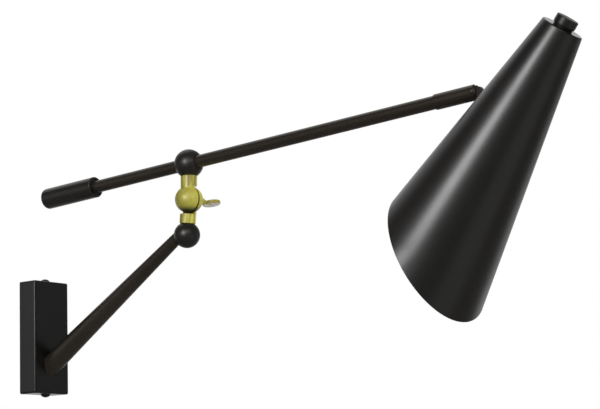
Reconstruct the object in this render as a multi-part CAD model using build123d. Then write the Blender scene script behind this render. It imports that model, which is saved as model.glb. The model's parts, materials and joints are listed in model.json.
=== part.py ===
from build123d import *
from math import acos, cos, degrees, radians, sin, sqrt, tan
import os

# A swing arm wall lamp with a counterweighted boom. Lengths are in millimetres, angles in degrees.
# X points out of the wall, Y runs along it and Z is up. The origin is on the wall, behind the middle
# of the cover. The lamp stands square to the wall, so every piece lies about the plane Y = 0.

# Clearances. SNUG and RUNNING are on the radius, the rest between faces.
SNUG = 0.04
RUNNING = 0.05
SLIDING = 0.1
PASSING = 0.5

# Wall bracket and cover
COVER_HEIGHT = 120.0
COVER_WIDTH = 50.0
COVER_DEPTH = 23.0
COVER_WALL = 1.5
COVER_EDGE = 2.0
BRACKET_SHEET = 2.0
BRACKET_WIDTH = 40.0
BRACKET_BEND = 2.5
EAR_WIDTH = 16.0
EAR_MARGIN = 5.0
FIXING_SPACING = 83.3
FIXING_SLOT_WIDTH = 5.0
FIXING_SLOT_LENGTH = 14.0
CABLE_HOLE_DIAMETER = 22.0
GROMMET_BORE = 13.0
GROMMET_LIP = 2.0
GROMMET_DEPTH = 6.0
COVER_SCREW_DIAMETER = 4.0
COVER_SCREW_LENGTH = 8.0
COVER_SCREW_HEAD_DIAMETER = 10.4
COVER_SCREW_HEAD_HEIGHT = 3.4
COVER_SCREW_OUT = 13.0

# Wiring parts inside the cover
TERMINAL_WIDTH = 30.0
TERMINAL_HEIGHT = 13.0
TERMINAL_DEPTH = 12.0
TERMINAL_WAYS = 3
TERMINAL_ENTRY_DIAMETER = 4.0
TERMINAL_SCREW_WELL_DIAMETER = 4.4
TERMINAL_EDGE = 0.7
TERMINAL_PLACE = 22.0
SMALL_SCREW_DIAMETER = 3.0
SMALL_SCREW_HEAD_DIAMETER = 5.6
SMALL_SCREW_HEAD_HEIGHT = 2.0
GROUND_SCREW_DIAMETER = 4.0
GROUND_SCREW_HEAD_DIAMETER = 8.0
GROUND_SCREW_HEAD_HEIGHT = 2.6
GROUND_SCREW_SIDE = 13.5
GROUND_SCREW_PLACE = -17.0

# Lower arm, a tapered tube with solid ends
ARM_FOOT_HEIGHT = -28.6
ARM_RISE = 32.7
ARM_REACH = 226.5
ARM_FOOT_DIAMETER = 22.2
ARM_TIP_DIAMETER = 11.8
ARM_WALL = 1.5
ARM_FOOT_SOLID = 20.0
ARM_TIP_SOLID = 26.0
WIRE_BORE = 3.6
NIPPLE_DIAMETER = 10.0
NIPPLE_LENGTH = 8.5
NIPPLE_BORE = 6.0
LOCK_NUT_ACROSS_FLATS = 15.0
LOCK_NUT_THICKNESS = 4.0
ARM_WASHER_DIAMETER = 18.0
ARM_WASHER_THICKNESS = 1.2
ARM_TENON_DIAMETER = 6.0
ARM_TENON_LENGTH = 4.5

# Lower ball and the swivel inside it
LOWER_BALL_DIAMETER = 26.8
LOWER_BALL_DROP = 5.65
STEM_LEAN = 5.5
STEM_LENGTH = 36.25
STEM_DIAMETER = 9.0
STEM_THREAD_DIAMETER = 6.0
LOWER_SEAT = 11.0
SWIVEL_CEILING = 2.0
SWIVEL_WELL_DIAMETER = 12.6
THRUST_WASHER_DIAMETER = 13.2
THRUST_WASHER_THICKNESS = 0.5
STEM_WASHER_DIAMETER = 11.2
STEM_WASHER_THICKNESS = 1.0
STEM_NUT_ACROSS_FLATS = 10.0
STEM_NUT_THICKNESS = 4.0
PLUG_THICKNESS = 3.0

# Friction knuckle: two half balls, each with its collar, clamped by a thumb screw
KNUCKLE_DIAMETER = 27.3
SEAM = 2.0
LOWER_COLLAR_DIAMETER = 16.6
UPPER_COLLAR_DIAMETER = 16.8
COLLAR_EDGE = 0.4
LOWER_NOTCH = 15.1
UPPER_NOTCH = 14.1
FRICTION_WASHER_DIAMETER = 21.0
THUMB_SHANK_DIAMETER = 6.0
THUMB_THREAD_DEPTH = 8.5
THUMB_FLANGE_DIAMETER = 9.6
THUMB_FLANGE_THICKNESS = 1.5
THUMB_FLAT = 1.2
THUMB_BOSS_DIAMETER = 7.4
THUMB_BOSS_LENGTH = 9.0
THUMB_BOSS_EDGE = 1.5
THUMB_NECK_DIAMETER = 4.4
PADDLE_REACH = 35.2
PADDLE_DIAMETER = 18.8
PADDLE_THICKNESS = 3.6
PADDLE_EDGE = 1.2
PADDLE_TURN = -9.2

# Upper ball and boom
POST_LEAN = 1.1
POST_LENGTH = 36.85
UPPER_BALL_DIAMETER = 29.9
UPPER_SEAT = 12.6
UPPER_STUD_DIAMETER = 8.0
UPPER_STUD_LENGTH = 4.6
BOOM_RISE = 3.26
BOOM_DIAMETER = 13.0
BOOM_BORE = 8.5
BOOM_REACH = 305.0
SPIGOT_DIAMETER = 9.5
SPIGOT_LENGTH = 29.0
SPIGOT_BORE = 5.0
SPIGOT_SHOULDER = 6.0
GROOVE_PLACE = 18.0
GROOVE_DEPTH = 1.2
GRUB_SCREW_DIAMETER = 5.0
GRUB_SCREW_SINK = 0.6

# Counterweight
WEIGHT_PLACE = 131.0
WEIGHT_LENGTH = 72.6
WEIGHT_DIAMETER = 22.0
WEIGHT_RECESS_DIAMETER = 17.4
WEIGHT_RECESS_DEPTH = 2.5
WEIGHT_RING_DIAMETER = 15.2
WEIGHT_RING_SINK = 0.7
WEIGHT_END = 8.0
WEIGHT_BACK_EDGE = 2.2
WEIGHT_FRONT_EDGE = 0.8
WEIGHT_SCREW_PLACE = 22.0

# Swivel sleeve with a fork, and the shade's hinge
SLEEVE_DIAMETER = 15.0
SLEEVE_START_EDGE = 0.9
SLEEVE_END_EDGE = 1.9
FORK_REACH = 43.7
FORK_END = 3.2
FORK_SLOT_WIDTH = 5.0
FORK_SLOT_DEPTH = 10.5
DOG_DIAMETER = 2.6
DOG_SCREW_DIAMETER = 4.0
HINGE_PIN_DIAMETER = 3.6
HINGE_PIN_DOME = 0.6
LUG_LENGTH = 11.44
LUG_HEAD_DIAMETER = 9.0
LUG_SHOULDER = 7.65
LUG_SHOULDER_HEIGHT = 1.1
LUG_SCREW_DEPTH = 6.5
LUG_SCREW_PITCH = 6.2
LUG_SCREW_SHIFT = -1.6

# Shade
SHADE_PITCH = 51.85
SHADE_HALF_ANGLE = 9.68
SHADE_TOP_DIAMETER = 39.7
SHADE_LENGTH = 235.6
SHADE_WALL = 1.2
SHADE_TOP_SHEET = 1.5
SHADE_TOP_EDGE = 1.4
MOUTH_SLANT = 28.4
MOUTH_TURN = 10.5
LUG_PLACE = 95.3

# Switch and lamp holder
BUSHING_DIAMETER = 10.0
BUSHING_RISE = 4.0
SWITCH_DIAMETER = 21.0
SWITCH_LENGTH = 21.0
SWITCH_NUT_DIAMETER = 18.6
SWITCH_NUT_THICKNESS = 2.4
BUTTON_DIAMETER = 21.2
BUTTON_HEIGHT = 7.9
BUTTON_GAP = 1.85
BUTTON_CUP_DIAMETER = 19.4
BUTTON_CUP_DEPTH = 4.5
BUTTON_EDGE = 0.8
BUTTON_STEM_DIAMETER = 6.0
BUTTON_STEM_LENGTH = 12.5
BUTTON_STEM_ROOM = 3.0
HOOP_SHEET = 1.2
HOOP_WIDTH = 12.0
HOOP_SPAN = 27.0
HOOP_HEIGHT = 30.0
HOOP_CORNER = 3.0
HOLDER_DIAMETER = 36.0
HOLDER_LENGTH = 44.0
HOLDER_FLOOR = 13.0
HOLDER_EDGE = 1.5
SHELL_BORE = 26.7
SHELL_WALL = 0.6
SHELL_LENGTH = 25.0
SHELL_MARGIN = 3.0
CONTACT_DIAMETER = 9.0
CONTACT_HEIGHT = 2.0
HOLDER_SCREW_SPACING = 14.0
HOLDER_SCREW_LENGTH = 8.0

# FAR reaches past the whole lamp in a cut, OVERCUT just past a face, and NEAR tells one face from the next.
BASE = (Align.CENTER, Align.CENTER, Align.MIN)
FAR = 2 * (BOOM_REACH + SHADE_LENGTH)
OVERCUT = 1.0
NEAR = 1e-4


# Frames and directions in the lamp's plane

def heading(angle):
    """A direction in the lamp's plane, raised from X by an angle."""
    return Vector(cos(radians(angle)), 0, sin(radians(angle)))


def frame_along(point, direction):
    """A frame at a point, with Z along a direction in the lamp's plane and Y along the wall."""
    return Plane(origin=point, x_dir=Vector(0, 1, 0).cross(direction), z_dir=direction)


def frame_across(point):
    """A frame at a point, with Z along the wall, for the two hinge axes."""
    return Plane(origin=point, x_dir=(1, 0, 0), z_dir=(0, 1, 0))


ARM = frame_along(Vector(COVER_DEPTH, 0, ARM_FOOT_HEIGHT), heading(ARM_RISE))
LOWER_CENTRE = ARM.origin + ARM.z_dir * ARM_REACH + ARM.x_dir * LOWER_BALL_DROP
STEM = frame_along(LOWER_CENTRE, heading(90 - STEM_LEAN))
KNUCKLE_CENTRE = STEM.origin + STEM.z_dir * STEM_LENGTH
POST = frame_along(KNUCKLE_CENTRE, heading(90 - POST_LEAN))
KNUCKLE = frame_across(KNUCKLE_CENTRE)
UPPER_CENTRE = POST.origin + POST.z_dir * POST_LENGTH
BOOM = frame_along(UPPER_CENTRE, heading(BOOM_RISE))
HINGE_REACH = BOOM_REACH + FORK_REACH
HINGE_CENTRE = BOOM.origin + BOOM.z_dir * HINGE_REACH
HINGE = frame_across(HINGE_CENTRE)

# The shade's frame has Z from its flat top to its mouth, and X towards the wall. It hangs from the
# hinge by the lug, which stands square on the generator nearest the wall.
SHADE_FLARE = tan(radians(SHADE_HALF_ANGLE))
SHADE_AXIS = heading(180 + SHADE_PITCH)
LUG = frame_along(HINGE_CENTRE, heading(SHADE_PITCH - SHADE_HALF_ANGLE - 90))


def shade_radius(place):
    """The shade's outer radius at a distance below its top."""
    return SHADE_TOP_DIAMETER / 2 + place * SHADE_FLARE


LUG_FOOT = LUG.origin + LUG.z_dir * LUG_LENGTH
SHADE_SIDE = Vector(0, 1, 0).cross(SHADE_AXIS)
SHADE_TOP = LUG_FOOT - SHADE_AXIS * LUG_PLACE - SHADE_SIDE * shade_radius(LUG_PLACE)
SHADE = frame_along(SHADE_TOP, SHADE_AXIS)


# Shapes used again and again

def rod(frame, diameter, start, end):
    """A round bar along a frame's Z."""
    return frame * (Pos(0, 0, start) * Cylinder(diameter / 2, end - start, align=BASE))


def ring(frame, outer, inner, start, end):
    """A round washer or tube along a frame's Z."""
    return rod(frame, outer, start, end) - rod(frame, inner, start, end)


def ball(frame, diameter, place=0.0):
    """A ball on a frame's Z."""
    return frame * (Pos(0, 0, place) * Sphere(diameter / 2))


def block(frame, x_range, y_range, z_range):
    """A box in a frame, from its three ranges."""
    lows, highs = zip(x_range, y_range, z_range)
    sizes = [high - low for low, high in zip(lows, highs)]
    return frame * (Pos(*lows) * Box(*sizes, align=(Align.MIN, Align.MIN, Align.MIN)))


def hexagon(frame, across_flats, start, end):
    """A hexagonal bar along a frame's Z."""
    outline = RegularPolygon(across_flats / 2, 6, major_radius=False)
    return frame * (Pos(0, 0, start) * extrude(outline, end - start))


def dome(frame, diameter, height, base=0.0):
    """A shallow round cap that rises from base along a frame's Z."""
    curve = (diameter * diameter / 4 + height * height) / (2 * height)
    cap = Pos(0, 0, height - curve) * Sphere(curve)
    return frame * (Pos(0, 0, base) * (cap & Cylinder(diameter / 2, height, align=BASE)))


def headed_screw(frame, diameter, length, head_diameter, head_height):
    """A domed screw whose head sits on a frame's floor and whose shank runs down its Z."""
    return dome(frame, head_diameter, head_height) + rod(frame, diameter, -length, 0)


def end_edges(piece, frame, place):
    """The edges of a piece that lie at one height of a frame."""
    def height(edge):
        return frame.to_local_coords(edge.center()).Z
    return [edge for edge in piece.edges() if abs(height(edge) - place) < NEAR]


def outer_edge(piece, frame, place):
    """The longest edge of a round piece at one height of a frame."""
    return max(end_edges(piece, frame, place), key=lambda edge: edge.length)


# Wall bracket, cover and wiring parts

WALL = Plane(origin=(0, 0, 0), x_dir=(0, 1, 0), z_dir=(1, 0, 0))
BRACKET_HEIGHT = COVER_HEIGHT - 2 * (COVER_WALL + PASSING)
EAR_LENGTH = COVER_SCREW_OUT + EAR_MARGIN


def cover_screw_frames():
    """Frames on the cover's top and bottom, with Z out of the cover."""
    top = Plane(origin=(COVER_SCREW_OUT, 0, COVER_HEIGHT / 2), z_dir=(0, 0, 1))
    bottom = Plane(origin=(COVER_SCREW_OUT, 0, -COVER_HEIGHT / 2), z_dir=(0, 0, -1))
    return top, bottom


def wall_bracket():
    """A pressed steel strap with two fixing slots, a cable hole and two folded ears."""
    outer = Pos(EAR_LENGTH / 2, 0) * Rectangle(EAR_LENGTH, BRACKET_HEIGHT)
    inside = Rectangle(EAR_LENGTH, BRACKET_HEIGHT - 2 * BRACKET_SHEET)
    inner = Pos(EAR_LENGTH / 2 + BRACKET_SHEET, 0) * inside
    strap = extrude(Plane.XZ * (outer - inner), BRACKET_WIDTH / 2, both=True)
    folds = [edge for edge in strap.edges().filter_by(Axis.Y) if abs(edge.center().X) < NEAR]
    strap = fillet(folds, BRACKET_BEND)
    for sign in (1, -1):
        for end in (1, -1):
            y_edge = sign * EAR_WIDTH / 2
            y_range = sorted((y_edge, sign * BRACKET_WIDTH))
            z_range = sorted((end * (BRACKET_HEIGHT / 2 - BRACKET_SHEET - PASSING), end * BRACKET_HEIGHT))
            strap -= block(Plane.XY, (BRACKET_BEND + BRACKET_SHEET, FAR), y_range, z_range)
    slot = SlotOverall(FIXING_SLOT_LENGTH, FIXING_SLOT_WIDTH, rotation=90)
    for end in (1, -1):
        strap -= extrude(WALL * (Pos(0, end * FIXING_SPACING / 2) * slot), BRACKET_SHEET)
    strap -= rod(WALL, CABLE_HOLE_DIAMETER, 0, BRACKET_SHEET)
    for side_frame in cover_screw_frames():
        strap -= rod(side_frame, COVER_SCREW_DIAMETER + 2 * SNUG, -COVER_SCREW_LENGTH - PASSING, 0)
    terminal_hole = rod(terminal_frame(), SMALL_SCREW_DIAMETER + 2 * SNUG, -FAR, 0)
    ground_hole = rod(ground_frame(), GROUND_SCREW_DIAMETER + 2 * SNUG, -FAR, 0)
    return strap - terminal_hole - ground_hole


def wall_cover():
    """The square box that hides the bracket and carries the arm on its front."""
    half_width, half_height = COVER_WIDTH / 2, COVER_HEIGHT / 2
    outer = block(Plane.XY, (0, COVER_DEPTH), (-half_width, half_width), (-half_height, half_height))
    round_edges = [edge for edge in outer.edges() if edge.center().X > NEAR]
    outer = fillet(round_edges, COVER_EDGE)
    inner_width, inner_height = half_width - COVER_WALL, half_height - COVER_WALL
    x_range = (-COVER_WALL, COVER_DEPTH - COVER_WALL)
    cover = outer - block(Plane.XY, x_range, (-inner_width, inner_width), (-inner_height, inner_height))
    for side_frame in cover_screw_frames():
        cover -= rod(side_frame, COVER_SCREW_DIAMETER + PASSING, -2 * COVER_WALL, OVERCUT)
    return cover - rod(nipple_frame(), NIPPLE_DIAMETER + 2 * SNUG, -OVERCUT, 2 * COVER_WALL)


def cover_screws():
    """The two domed screws that hold the cover on the bracket's ears."""
    return [headed_screw(frame, COVER_SCREW_DIAMETER, COVER_SCREW_LENGTH, COVER_SCREW_HEAD_DIAMETER,
                         COVER_SCREW_HEAD_HEIGHT) for frame in cover_screw_frames()]


def cable_grommet():
    """A rubber ring in the bracket's cable hole, with a lip on the lamp's side only."""
    neck = CABLE_HOLE_DIAMETER - 2 * SNUG
    lip = ring(WALL, CABLE_HOLE_DIAMETER + 2 * GROMMET_LIP, GROMMET_BORE, BRACKET_SHEET, GROMMET_DEPTH)
    lip = fillet(outer_edge(lip, WALL, GROMMET_DEPTH), GROMMET_LIP / 2)
    return lip + ring(WALL, neck, GROMMET_BORE, 0, BRACKET_SHEET)


def terminal_frame():
    """The frame of the terminal block, on the bracket above the cable hole."""
    return Plane(origin=(BRACKET_SHEET, 0, TERMINAL_PLACE), x_dir=(0, 1, 0), z_dir=(1, 0, 0))


def terminal_block():
    """A moulded block with three screw terminals and a fixing hole between two of them."""
    frame = terminal_frame()
    half_width, half_height = TERMINAL_WIDTH / 2, TERMINAL_HEIGHT / 2
    body = block(frame, (-half_width, half_width), (-half_height, half_height), (0, TERMINAL_DEPTH))
    body = chamfer(body.edges().group_by(Axis.X)[-1], TERMINAL_EDGE)
    pitch = TERMINAL_WIDTH / TERMINAL_WAYS
    for way in range(TERMINAL_WAYS):
        across = (way - (TERMINAL_WAYS - 1) / 2) * pitch
        if way != TERMINAL_WAYS // 2:
            well = frame * Pos(across, 0, TERMINAL_DEPTH / 2)
            depth = TERMINAL_DEPTH / 2 + OVERCUT
            body -= well * Cylinder(TERMINAL_SCREW_WELL_DIAMETER / 2, depth, align=BASE)
        entry = frame * (Pos(across, 0, TERMINAL_DEPTH / 2) * Rot(90, 0, 0))
        gap = Cylinder(TERMINAL_ENTRY_DIAMETER / 2, TERMINAL_HEIGHT / 4)
        for end in (1, -1):
            body -= entry * (Pos(0, 0, end * half_height) * gap)
    return body - rod(frame, SMALL_SCREW_DIAMETER + 2 * SNUG, -OVERCUT, TERMINAL_DEPTH + OVERCUT)


def terminal_screw():
    """The screw that holds the terminal block on the bracket."""
    frame = terminal_frame().offset(TERMINAL_DEPTH)
    length = TERMINAL_DEPTH + BRACKET_SHEET
    return headed_screw(frame, SMALL_SCREW_DIAMETER, length, SMALL_SCREW_HEAD_DIAMETER,
                        SMALL_SCREW_HEAD_HEIGHT)


def ground_frame():
    """The frame of the earth screw, on the bracket below the cable hole."""
    origin = (BRACKET_SHEET, GROUND_SCREW_SIDE, GROUND_SCREW_PLACE)
    return Plane(origin=origin, x_dir=(0, 1, 0), z_dir=(1, 0, 0))


def ground_screw():
    """The earth screw on the bracket."""
    return headed_screw(ground_frame(), GROUND_SCREW_DIAMETER, BRACKET_SHEET, GROUND_SCREW_HEAD_DIAMETER,
                        GROUND_SCREW_HEAD_HEIGHT)


# Lower arm and its fixings

TENON_START = ARM_REACH - sqrt((LOWER_BALL_DIAMETER / 2) ** 2 - LOWER_BALL_DROP ** 2)
TENON_END = TENON_START + ARM_TENON_LENGTH


def nipple_frame():
    """The frame of the arm's threaded nipple, with Z back into the cover."""
    return Plane(origin=ARM.origin, x_dir=(0, 1, 0), z_dir=(-1, 0, 0))


def arm_radius(place):
    """The arm's outer radius at a distance along its axis from the cover."""
    return (ARM_FOOT_DIAMETER + (ARM_TIP_DIAMETER - ARM_FOOT_DIAMETER) * place / ARM_REACH) / 2


def arm_cone(start, end, wall=0.0):
    """A stretch of the arm's taper, taken in by a wall."""
    cone = Cone(arm_radius(start) - wall, arm_radius(end) - wall, end - start, align=BASE)
    return ARM * (Pos(0, 0, start) * cone)


def lower_arm():
    """The fixed arm: mitred on the cover, hollow between its ends, and coped round the lower ball."""
    tube = arm_cone(-ARM_FOOT_DIAMETER, ARM_REACH)
    tube -= block(Plane.XY, (-FAR, COVER_DEPTH), (-FAR, FAR), (-FAR, FAR))
    tube -= arm_cone(ARM_FOOT_SOLID, ARM_REACH - ARM_TIP_SOLID, ARM_WALL)
    tube -= ball(STEM, LOWER_BALL_DIAMETER + 2 * SNUG)
    tube += rod(ARM, ARM_TENON_DIAMETER, TENON_START - ARM_TENON_LENGTH, TENON_END)
    tube += rod(nipple_frame(), NIPPLE_DIAMETER, 0, NIPPLE_LENGTH)
    tube -= rod(ARM, NIPPLE_BORE, 0, ARM_FOOT_SOLID + OVERCUT)
    tube -= rod(nipple_frame(), NIPPLE_BORE, 0, NIPPLE_LENGTH)
    return tube - rod(ARM, WIRE_BORE, ARM_REACH - ARM_TIP_SOLID - OVERCUT, TENON_END)


def arm_washer():
    """The washer under the arm's lock nut."""
    return ring(nipple_frame(), ARM_WASHER_DIAMETER, NIPPLE_DIAMETER + 2 * SNUG, COVER_WALL,
                COVER_WALL + ARM_WASHER_THICKNESS)


def arm_lock_nut():
    """The hexagon nut that clamps the arm on the cover."""
    start = COVER_WALL + ARM_WASHER_THICKNESS
    end = start + LOCK_NUT_THICKNESS
    bore = rod(nipple_frame(), NIPPLE_DIAMETER + 2 * SNUG, start, end)
    return hexagon(nipple_frame(), LOCK_NUT_ACROSS_FLATS, start, end) - bore


# Lower ball and swivel

COLLAR_BOTTOM = LOWER_SEAT + THRUST_WASHER_THICKNESS + SLIDING
WASHER_TOP = SWIVEL_CEILING - SLIDING
NUT_TOP = WASHER_TOP - STEM_WASHER_THICKNESS
NUT_BOTTOM = NUT_TOP - STEM_NUT_THICKNESS


def lower_ball():
    """The ball on the arm's tip, flat under the collar, bored for the stem and hollowed from below."""
    body = ball(STEM, LOWER_BALL_DIAMETER)
    body -= block(STEM, (-FAR, FAR), (-FAR, FAR), (LOWER_SEAT, FAR))
    body -= rod(STEM, STEM_DIAMETER + 2 * RUNNING, 0, LOWER_SEAT)
    body -= rod(STEM, SWIVEL_WELL_DIAMETER, -LOWER_BALL_DIAMETER, SWIVEL_CEILING)
    body -= rod(ARM, ARM_TENON_DIAMETER + 2 * SNUG, TENON_START - ARM_TENON_LENGTH, TENON_END + SLIDING)
    return body - rod(ARM, WIRE_BORE, TENON_START, TENON_END + ARM_TENON_LENGTH / 2)


def ball_plug():
    """The cap that closes the ball's hollow, rounded off with the ball."""
    well_end = sqrt((LOWER_BALL_DIAMETER / 2) ** 2 - (SWIVEL_WELL_DIAMETER / 2) ** 2)
    plug = rod(STEM, SWIVEL_WELL_DIAMETER - 2 * SNUG, -LOWER_BALL_DIAMETER, PLUG_THICKNESS - well_end)
    return plug & ball(STEM, LOWER_BALL_DIAMETER)


def thrust_washer():
    """The thin washer that the collar turns on."""
    top = LOWER_SEAT + THRUST_WASHER_THICKNESS
    return ring(STEM, THRUST_WASHER_DIAMETER, STEM_DIAMETER + PASSING, LOWER_SEAT, top)


def stem_washer():
    """The washer between the stem's shoulder and its nut."""
    return ring(STEM, STEM_WASHER_DIAMETER, STEM_THREAD_DIAMETER + 2 * SNUG, NUT_TOP, WASHER_TOP)


def stem_nut():
    """The nut that holds the stem in the ball."""
    bore = rod(STEM, STEM_THREAD_DIAMETER + 2 * SNUG, NUT_BOTTOM, NUT_TOP)
    return hexagon(STEM, STEM_NUT_ACROSS_FLATS, NUT_BOTTOM, NUT_TOP) - bore


# Friction knuckle

HALF_SEAM = SEAM / 2
FLANGE_SEAT = HALF_SEAM + KNUCKLE_DIAMETER / 2 - THUMB_FLAT


def half_ball(side):
    """One half of the knuckle's ball, on the near (-1) or the far (1) side of the seam."""
    half = ball(KNUCKLE, KNUCKLE_DIAMETER, side * HALF_SEAM)
    spare = sorted((side * HALF_SEAM, -side * FAR))
    return half - block(KNUCKLE, (-FAR, FAR), (-FAR, FAR), spare)


def collar(frame, diameter, end, root):
    """A round collar along a frame, eased at the end beside the black ball."""
    body = rod(frame, diameter, min(end, root), max(end, root))
    return chamfer(outer_edge(body, frame, end), COLLAR_EDGE)


def lower_knuckle():
    """The far half of the knuckle with its collar, and the stem that turns in the lower ball."""
    body = collar(STEM, LOWER_COLLAR_DIAMETER, COLLAR_BOTTOM, STEM_LENGTH)
    body -= block(STEM, (-FAR, FAR), (-FAR, HALF_SEAM), (STEM_LENGTH - LOWER_NOTCH, FAR))
    body += half_ball(1)
    body -= block(KNUCKLE, (-FAR, FAR), (-FAR, FAR), (FLANGE_SEAT, FAR))
    body += rod(STEM, STEM_DIAMETER, WASHER_TOP, COLLAR_BOTTOM + COLLAR_EDGE)
    body += rod(STEM, STEM_THREAD_DIAMETER, NUT_BOTTOM - COLLAR_EDGE, WASHER_TOP)
    return body - rod(KNUCKLE, THUMB_SHANK_DIAMETER + 2 * RUNNING, 0, FAR)


def upper_knuckle():
    """The near half of the knuckle with its collar, and the stud that holds the upper ball."""
    top = POST_LENGTH - UPPER_SEAT
    body = collar(POST, UPPER_COLLAR_DIAMETER, top, 0)
    body -= block(POST, (-FAR, FAR), (-HALF_SEAM, FAR), (-FAR, UPPER_NOTCH))
    body += half_ball(-1)
    body += rod(POST, UPPER_STUD_DIAMETER, top - COLLAR_EDGE, top + UPPER_STUD_LENGTH)
    return body - rod(KNUCKLE, THUMB_SHANK_DIAMETER + 2 * RUNNING, -HALF_SEAM - THUMB_THREAD_DEPTH, 0)


def friction_washer():
    """The fibre disc between the two halves, which lies on the far one."""
    bore = THUMB_SHANK_DIAMETER + 2 * RUNNING
    return ring(KNUCKLE, FRICTION_WASHER_DIAMETER, bore, SLIDING - HALF_SEAM, HALF_SEAM)


def thumb_screw():
    """The clamp screw: a shank through the knuckle, a flange, a boss, a neck and a flat round paddle."""
    seat = FLANGE_SEAT + SLIDING
    flange_end = seat + THUMB_FLANGE_THICKNESS
    boss_end = seat + THUMB_BOSS_LENGTH
    screw = rod(KNUCKLE, THUMB_SHANK_DIAMETER, PASSING - HALF_SEAM - THUMB_THREAD_DEPTH, flange_end)
    screw += rod(KNUCKLE, THUMB_FLANGE_DIAMETER, seat, flange_end)
    boss = rod(KNUCKLE, THUMB_BOSS_DIAMETER, seat, boss_end)
    screw += fillet(outer_edge(boss, KNUCKLE, boss_end), THUMB_BOSS_EDGE)
    screw += rod(KNUCKLE, THUMB_NECK_DIAMETER, flange_end, PADDLE_REACH)
    paddle = Cylinder(PADDLE_DIAMETER / 2, PADDLE_THICKNESS)
    paddle = fillet(paddle.edges().filter_by(GeomType.CIRCLE), PADDLE_EDGE)
    place = Pos(*(KNUCKLE_CENTRE + Vector(0, PADDLE_REACH, 0))) * Rot(0, PADDLE_TURN, 0)
    return screw + place * paddle


# Upper ball, boom and counterweight

def grub_frame(frame, place, direction):
    """A frame for a grub screw that points at a round bar's axis, with Z out of it."""
    origin = frame.origin + frame.z_dir * place
    return Plane(origin=origin, x_dir=frame.z_dir, z_dir=direction)


BALL_GRUB = grub_frame(BOOM, 0, (0, 1, 0))
WEIGHT_GRUB = grub_frame(BOOM, -WEIGHT_PLACE - WEIGHT_SCREW_PLACE, (0, 1, 0))


def grub_hole(frame):
    """The threaded hole of a grub screw."""
    return rod(frame, GRUB_SCREW_DIAMETER + 2 * SNUG, 0, FAR)


def grub_screw(frame, surface):
    """A grub screw from the boom's skin to just under a surface."""
    start = BOOM_DIAMETER / 2 + SNUG
    end = surface - GRUB_SCREW_SINK
    socket = hexagon(frame, GRUB_SCREW_DIAMETER / 2, (start + end) / 2, end)
    return rod(frame, GRUB_SCREW_DIAMETER, start, end) - socket


def upper_ball():
    """The ball that carries the boom, flat where it sits on its collar."""
    body = ball(BOOM, UPPER_BALL_DIAMETER)
    seat = POST_LENGTH - UPPER_SEAT
    body -= block(POST, (-FAR, FAR), (-FAR, FAR), (-FAR, seat))
    body -= rod(POST, UPPER_STUD_DIAMETER + 2 * SNUG, seat, seat + UPPER_STUD_LENGTH + SLIDING)
    body -= rod(BOOM, BOOM_DIAMETER + 2 * SNUG, -FAR, FAR)
    return body - grub_hole(BALL_GRUB)


def ball_grub_screw():
    """The grub screw on the ball's far side, which holds the boom."""
    return grub_screw(BALL_GRUB, sqrt((UPPER_BALL_DIAMETER / 2) ** 2 - (GRUB_SCREW_DIAMETER / 2) ** 2))


WEIGHT_FRONT = -WEIGHT_PLACE
WEIGHT_BACK = -WEIGHT_PLACE - WEIGHT_LENGTH
SPIGOT_END = BOOM_REACH + SPIGOT_LENGTH


def boom_tube():
    """The boom: a tube from the counterweight to a shoulder, with a grooved spigot for the sleeve."""
    body = rod(BOOM, BOOM_DIAMETER, WEIGHT_BACK + WEIGHT_END + SLIDING, BOOM_REACH)
    body += rod(BOOM, SPIGOT_DIAMETER, BOOM_REACH, SPIGOT_END)
    groove_width = DOG_DIAMETER + 2 * PASSING
    groove_start = BOOM_REACH + GROOVE_PLACE - groove_width / 2
    groove_floor = SPIGOT_DIAMETER - 2 * GROOVE_DEPTH
    body -= ring(BOOM, SPIGOT_DIAMETER + OVERCUT, groove_floor, groove_start, groove_start + groove_width)
    body -= rod(BOOM, BOOM_BORE, -FAR, BOOM_REACH - SPIGOT_SHOULDER)
    return body - rod(BOOM, SPIGOT_BORE, 0, FAR)


def counterweight():
    """The steel weight on the boom's wall end, grooved round the boom and blind behind it."""
    body = rod(BOOM, WEIGHT_DIAMETER, WEIGHT_BACK, WEIGHT_FRONT)
    body = fillet(outer_edge(body, BOOM, WEIGHT_BACK), WEIGHT_BACK_EDGE)
    body = chamfer(outer_edge(body, BOOM, WEIGHT_FRONT), WEIGHT_FRONT_EDGE)
    groove_floor = WEIGHT_FRONT - WEIGHT_RECESS_DEPTH
    body -= ring(BOOM, WEIGHT_RECESS_DIAMETER, WEIGHT_RING_DIAMETER, groove_floor, WEIGHT_FRONT)
    body -= rod(BOOM, WEIGHT_RECESS_DIAMETER, WEIGHT_FRONT - WEIGHT_RING_SINK, WEIGHT_FRONT)
    body -= rod(BOOM, BOOM_DIAMETER + 2 * SNUG, WEIGHT_BACK + WEIGHT_END, WEIGHT_FRONT)
    return body - grub_hole(WEIGHT_GRUB)


def weight_grub_screw():
    """The grub screw that holds the counterweight on the boom."""
    return grub_screw(WEIGHT_GRUB, WEIGHT_DIAMETER / 2)


# Sleeve and hinge

SLEEVE_START = BOOM_REACH + SLIDING
SLEEVE_END = HINGE_REACH + FORK_END
DOG = grub_frame(BOOM, BOOM_REACH + GROOVE_PLACE, (0, 1, 0))


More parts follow.
